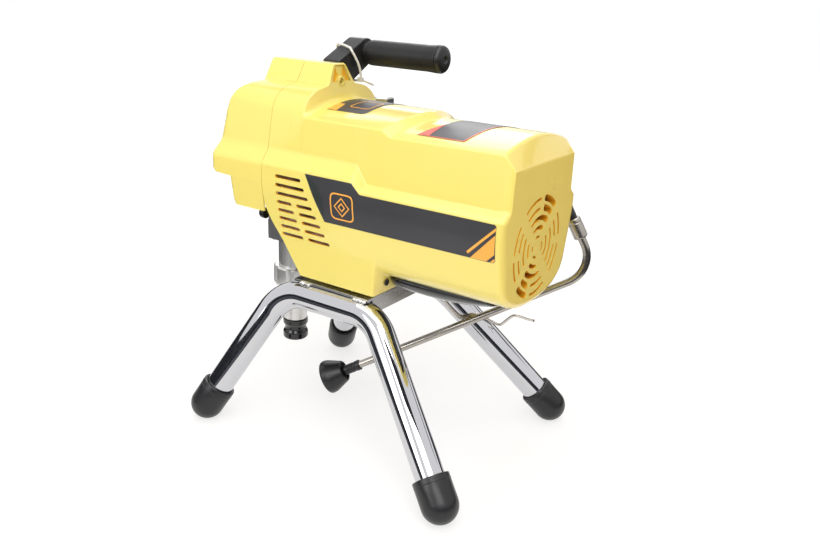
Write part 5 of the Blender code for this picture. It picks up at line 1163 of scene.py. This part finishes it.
def make_handle():
    arm = new_piece("handle_plate", prism(arm_outline(), "y", -104.0, -80.0), "paint",
                    replaces=("handle_arm",))
    round_edges(arm, 1.0)
    axis = (-59.0, 0.0, 432.5)
    turned("handle_neck", "black", [
        (0.0, -80.6), (12.4, -80.6), (12.4, -76.0), (11.6, -74.4), (10.5, -74.0), (10.5, 18.0),
        (0.0, 18.0)], "y", axis, 64, 0.4)
    turned("grip_sleeve", "grip", [
        (10.8, -74.0), (13.6, -74.0), (14.5, -72.6), (14.6, -68.0), (14.6, 7.0), (15.4, 19.6),
        (15.2, 21.5), (10.8, 21.5)], "y", axis, 80, 1.2, ring=True, replaces=("handle_grip",))
    turned("grip_plug", "rubber", [
        (0.0, 21.8), (15.2, 21.8), (15.4, 23.7), (13.8, 26.4), (10.4, 27.9), (4.0, 28.3),
        (3.4, 26.4), (0.0, 26.4)], "y", axis, 80, 0.8, replaces=("grip_end_cap",))


def make_tie():
    """The nylon tie round the arm: loop, head and the free end."""
    loop = soften(TIE, 5.0, 5, closed=True)
    new_piece("tie_loop", sweep(loop, 1.35, 20, closed=True), "nylon", replaces=("cable_tie",),
              weighted=False)
    size = Vector((2.6, 3.0, 2.6))
    round_edges(new_piece("tie_head", box(TIE_HEAD - size, TIE_HEAD + size), "nylon"), 0.7, 3)
    tail = [TIE_HEAD + Vector(step) for step in ((0, 0, 0), (-9.0, 1.5, -3.0), (-19.5, 4.0, -7.0))]
    new_piece("tie_tail", sweep(soften(tail, 4.0, 5), 1.15, 20, dome=True), "nylon",
              weighted=False)


# (radius, distance along the tube) round the drain tube's end pieces
FERRULE = ((0.0, 0.0), (7.2, 0.0), (8.0, 1.0), (8.0, 4.6), (7.7, 5.0), (7.7, 5.8), (8.0, 6.2),
           (8.0, 23.2), (7.0, 24.4), (5.0, 24.4), (5.0, 14.4), (0.0, 14.4))
SLEEVE = ((5.0, 0.0), (6.5, 0.0), (6.5, 5.0), (5.9, 6.2), (5.9, 8.2), (6.4, 8.8), (5.9, 10.8),
          (6.4, 11.4), (5.9, 13.4), (6.4, 14.0), (5.9, 16.0), (6.5, 18.0), (6.5, 25.7),
          (5.0, 25.7))
CONE = ((5.0, 4.0), (11.0, 4.0), (11.0, 0.0), (13.0, 0.0), (20.5, 18.0), (21.2, 22.0),
        (20.8, 25.0), (19.5, 26.0), (18.0, 25.0), (17.2, 18.0), (13.0, 12.0), (5.0, 12.0))


def make_drain_line():
    start, bend, end = TUBE
    down, out = (bend - start).normalized(), (end - bend).normalized()
    pipe = rounded_path((start + down * 14.7, bend, end + out * 12.0), 34.0, 20)

    def along(profile, place, direction, segments, setback, ring=True):
        return aim(lathe(profile, "z", (0.0, 0.0, 0.0), segments, ring, setback), place,
                   direction)

    for name, bm, look, node, weighted in (
            ("drain_hose_skin", sweep(smooth_path(HOSE), 5.2, 40), "rubber", "drain_hose", False),
            ("ferrule", along(FERRULE, start, down, 72, 0.35, False), "brushed", "hose_ferrule",
             True),
            ("drain_pipe", sweep(pipe, 4.57, 40, 3.5), "brushed", "drain_tube", False),
            ("sleeve", along(SLEEVE, end - out * 22.0, out, 56, 0.35), "rubber", "tube_sleeve",
             True),
            ("cone", along(CONE, end, out, 72, 1.0), "rubber", "deflector_cone", True),
            ("clip", sweep(smooth_path(CLIP), 1.7, 24), "stainless", "wire_clip", False)):
        new_piece(name, bm, look, replaces=(node,), weighted=weighted)


# ------------------------------------------------------------------ pump

def make_pump():
    axis = (0.0, -141.0, 0.0)
    turned("cylinder", "satin", [
        (13.0, 141.3), (20.7, 141.3), (20.7, 226.0), (15.1, 226.0), (15.1, 202.0), (13.0, 202.0)],
        "z", axis, 80, 0.6, ring=True, replaces=("pump_cylinder",))
    nut = turned("lock_nut", "satin", [
        (21.0, 141.0), (21.7, 141.0), (26.7, 149.0), (26.7, 169.5), (25.2, 171.0), (21.0, 171.0)],
        "z", axis, 96, 0.5, ring=True, replaces=("jam_nut",), weighted=False)
    turns = [2.0 * math.pi * (k + 0.5) / 8.0 for k in range(8)]
    apply_cuts(nut, [(joined(*[disc(4.0, 139.0, 173.0, "z", (28.3 * math.cos(turn),
                                                             -141.0 + 28.3 * math.sin(turn), 0.0),
                                    24) for turn in turns]), 0)])
    smooth(nut, 35.0)
    turned("lower_valve", "satin", [
        (5.0, 75.5), (11.0, 75.5), (11.0, 98.0), (14.7, 98.0), (14.7, 135.0), (17.7, 139.0),
        (17.7, 141.0), (7.7, 141.0), (7.7, 123.0), (5.0, 120.0)],
        "z", axis, 72, 0.5, ring=True, replaces=("foot_valve",))
    turned("inlet_plug", "gloss_black", [
        (0.0, 70.4), (14.5, 70.4), (16.0, 72.4), (16.0, 79.6), (13.8, 83.4), (13.8, 87.4),
        (16.0, 91.4), (16.0, 97.3), (11.3, 97.3), (11.3, 75.2), (0.0, 75.2)],
        "z", axis, 72, 0.9, body="inlet_cap", replaces=("inlet_cap",))


# ------------------------------------------------------------------ pieces kept from the frame

# look and width of rounded edge of the nodes that keep their shape
KEPT = (("aluminium", 0.6, "filter_bowl"), ("aluminium", 0.8, "manifold_block"),
        ("black", 0.0, "cooling_fan"), ("black", 0.8, "pressure_knob"),
        ("black", 1.2, "control_box"), ("brass", 0.3, "drain_fitting packing_nut"),
        ("brass", 0.4, "prime_valve"), ("casting", 0.8, "gearbox_cover"),
        ("casting", 1.0, "drive_housing pump_yoke"), ("copper", 0.4, "stator_winding"),
        ("nylon", 0.0, "throat_packing"), ("nylon", 0.2, "piston_seal"),
        ("paint", 0.6, "motor_can"), ("red", 0.0, "filter_element"),
        ("red", 0.4, "power_switch"), ("red", 0.8, "prime_lever"), ("rubber", 0.5, "cord_gland"),
        ("steel", 0.0, "crank_gear idler_gear idler_pinion inlet_ball motor_pinion outlet_ball"),
        ("steel", 0.2, "wrist_pin"),
        ("steel", 0.3, "crank_front_bearing crank_rear_bearing crankshaft idler_shaft piston_rod"),
        ("steel", 0.3, "rotor_shaft"), ("steel", 0.4, "connecting_rod hose_outlet"),
        ("steel", 0.4, "pressure_sensor"), ("steel", 0.5, "base_plate filter_cap"))


def dress_kept():
    for look, edge, names in KEPT:
        for name in names.split():
            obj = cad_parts[name]
            for slot in obj.material_slots:
                slot.material = LOOKS[look]
            obj.modifiers.new("weld", "WELD").merge_threshold = 0.00001
            if edge:
                round_edges(obj, edge, 2, 35.0)
            even_normals(obj)


make_camera()
make_world()
make_lamps()
make_floor()
make_flags()
make_stand()
make_shroud()
make_pocket()
make_front_cover()
make_belly_pan()
make_vent_shade_sheets()
make_grille_shade_plate()
make_keel_screw()
make_yoke_fittings()
make_welds()
make_side_films()
make_roof_films()
make_handle()
make_tie()
make_drain_line()
make_pump()
dress_kept()
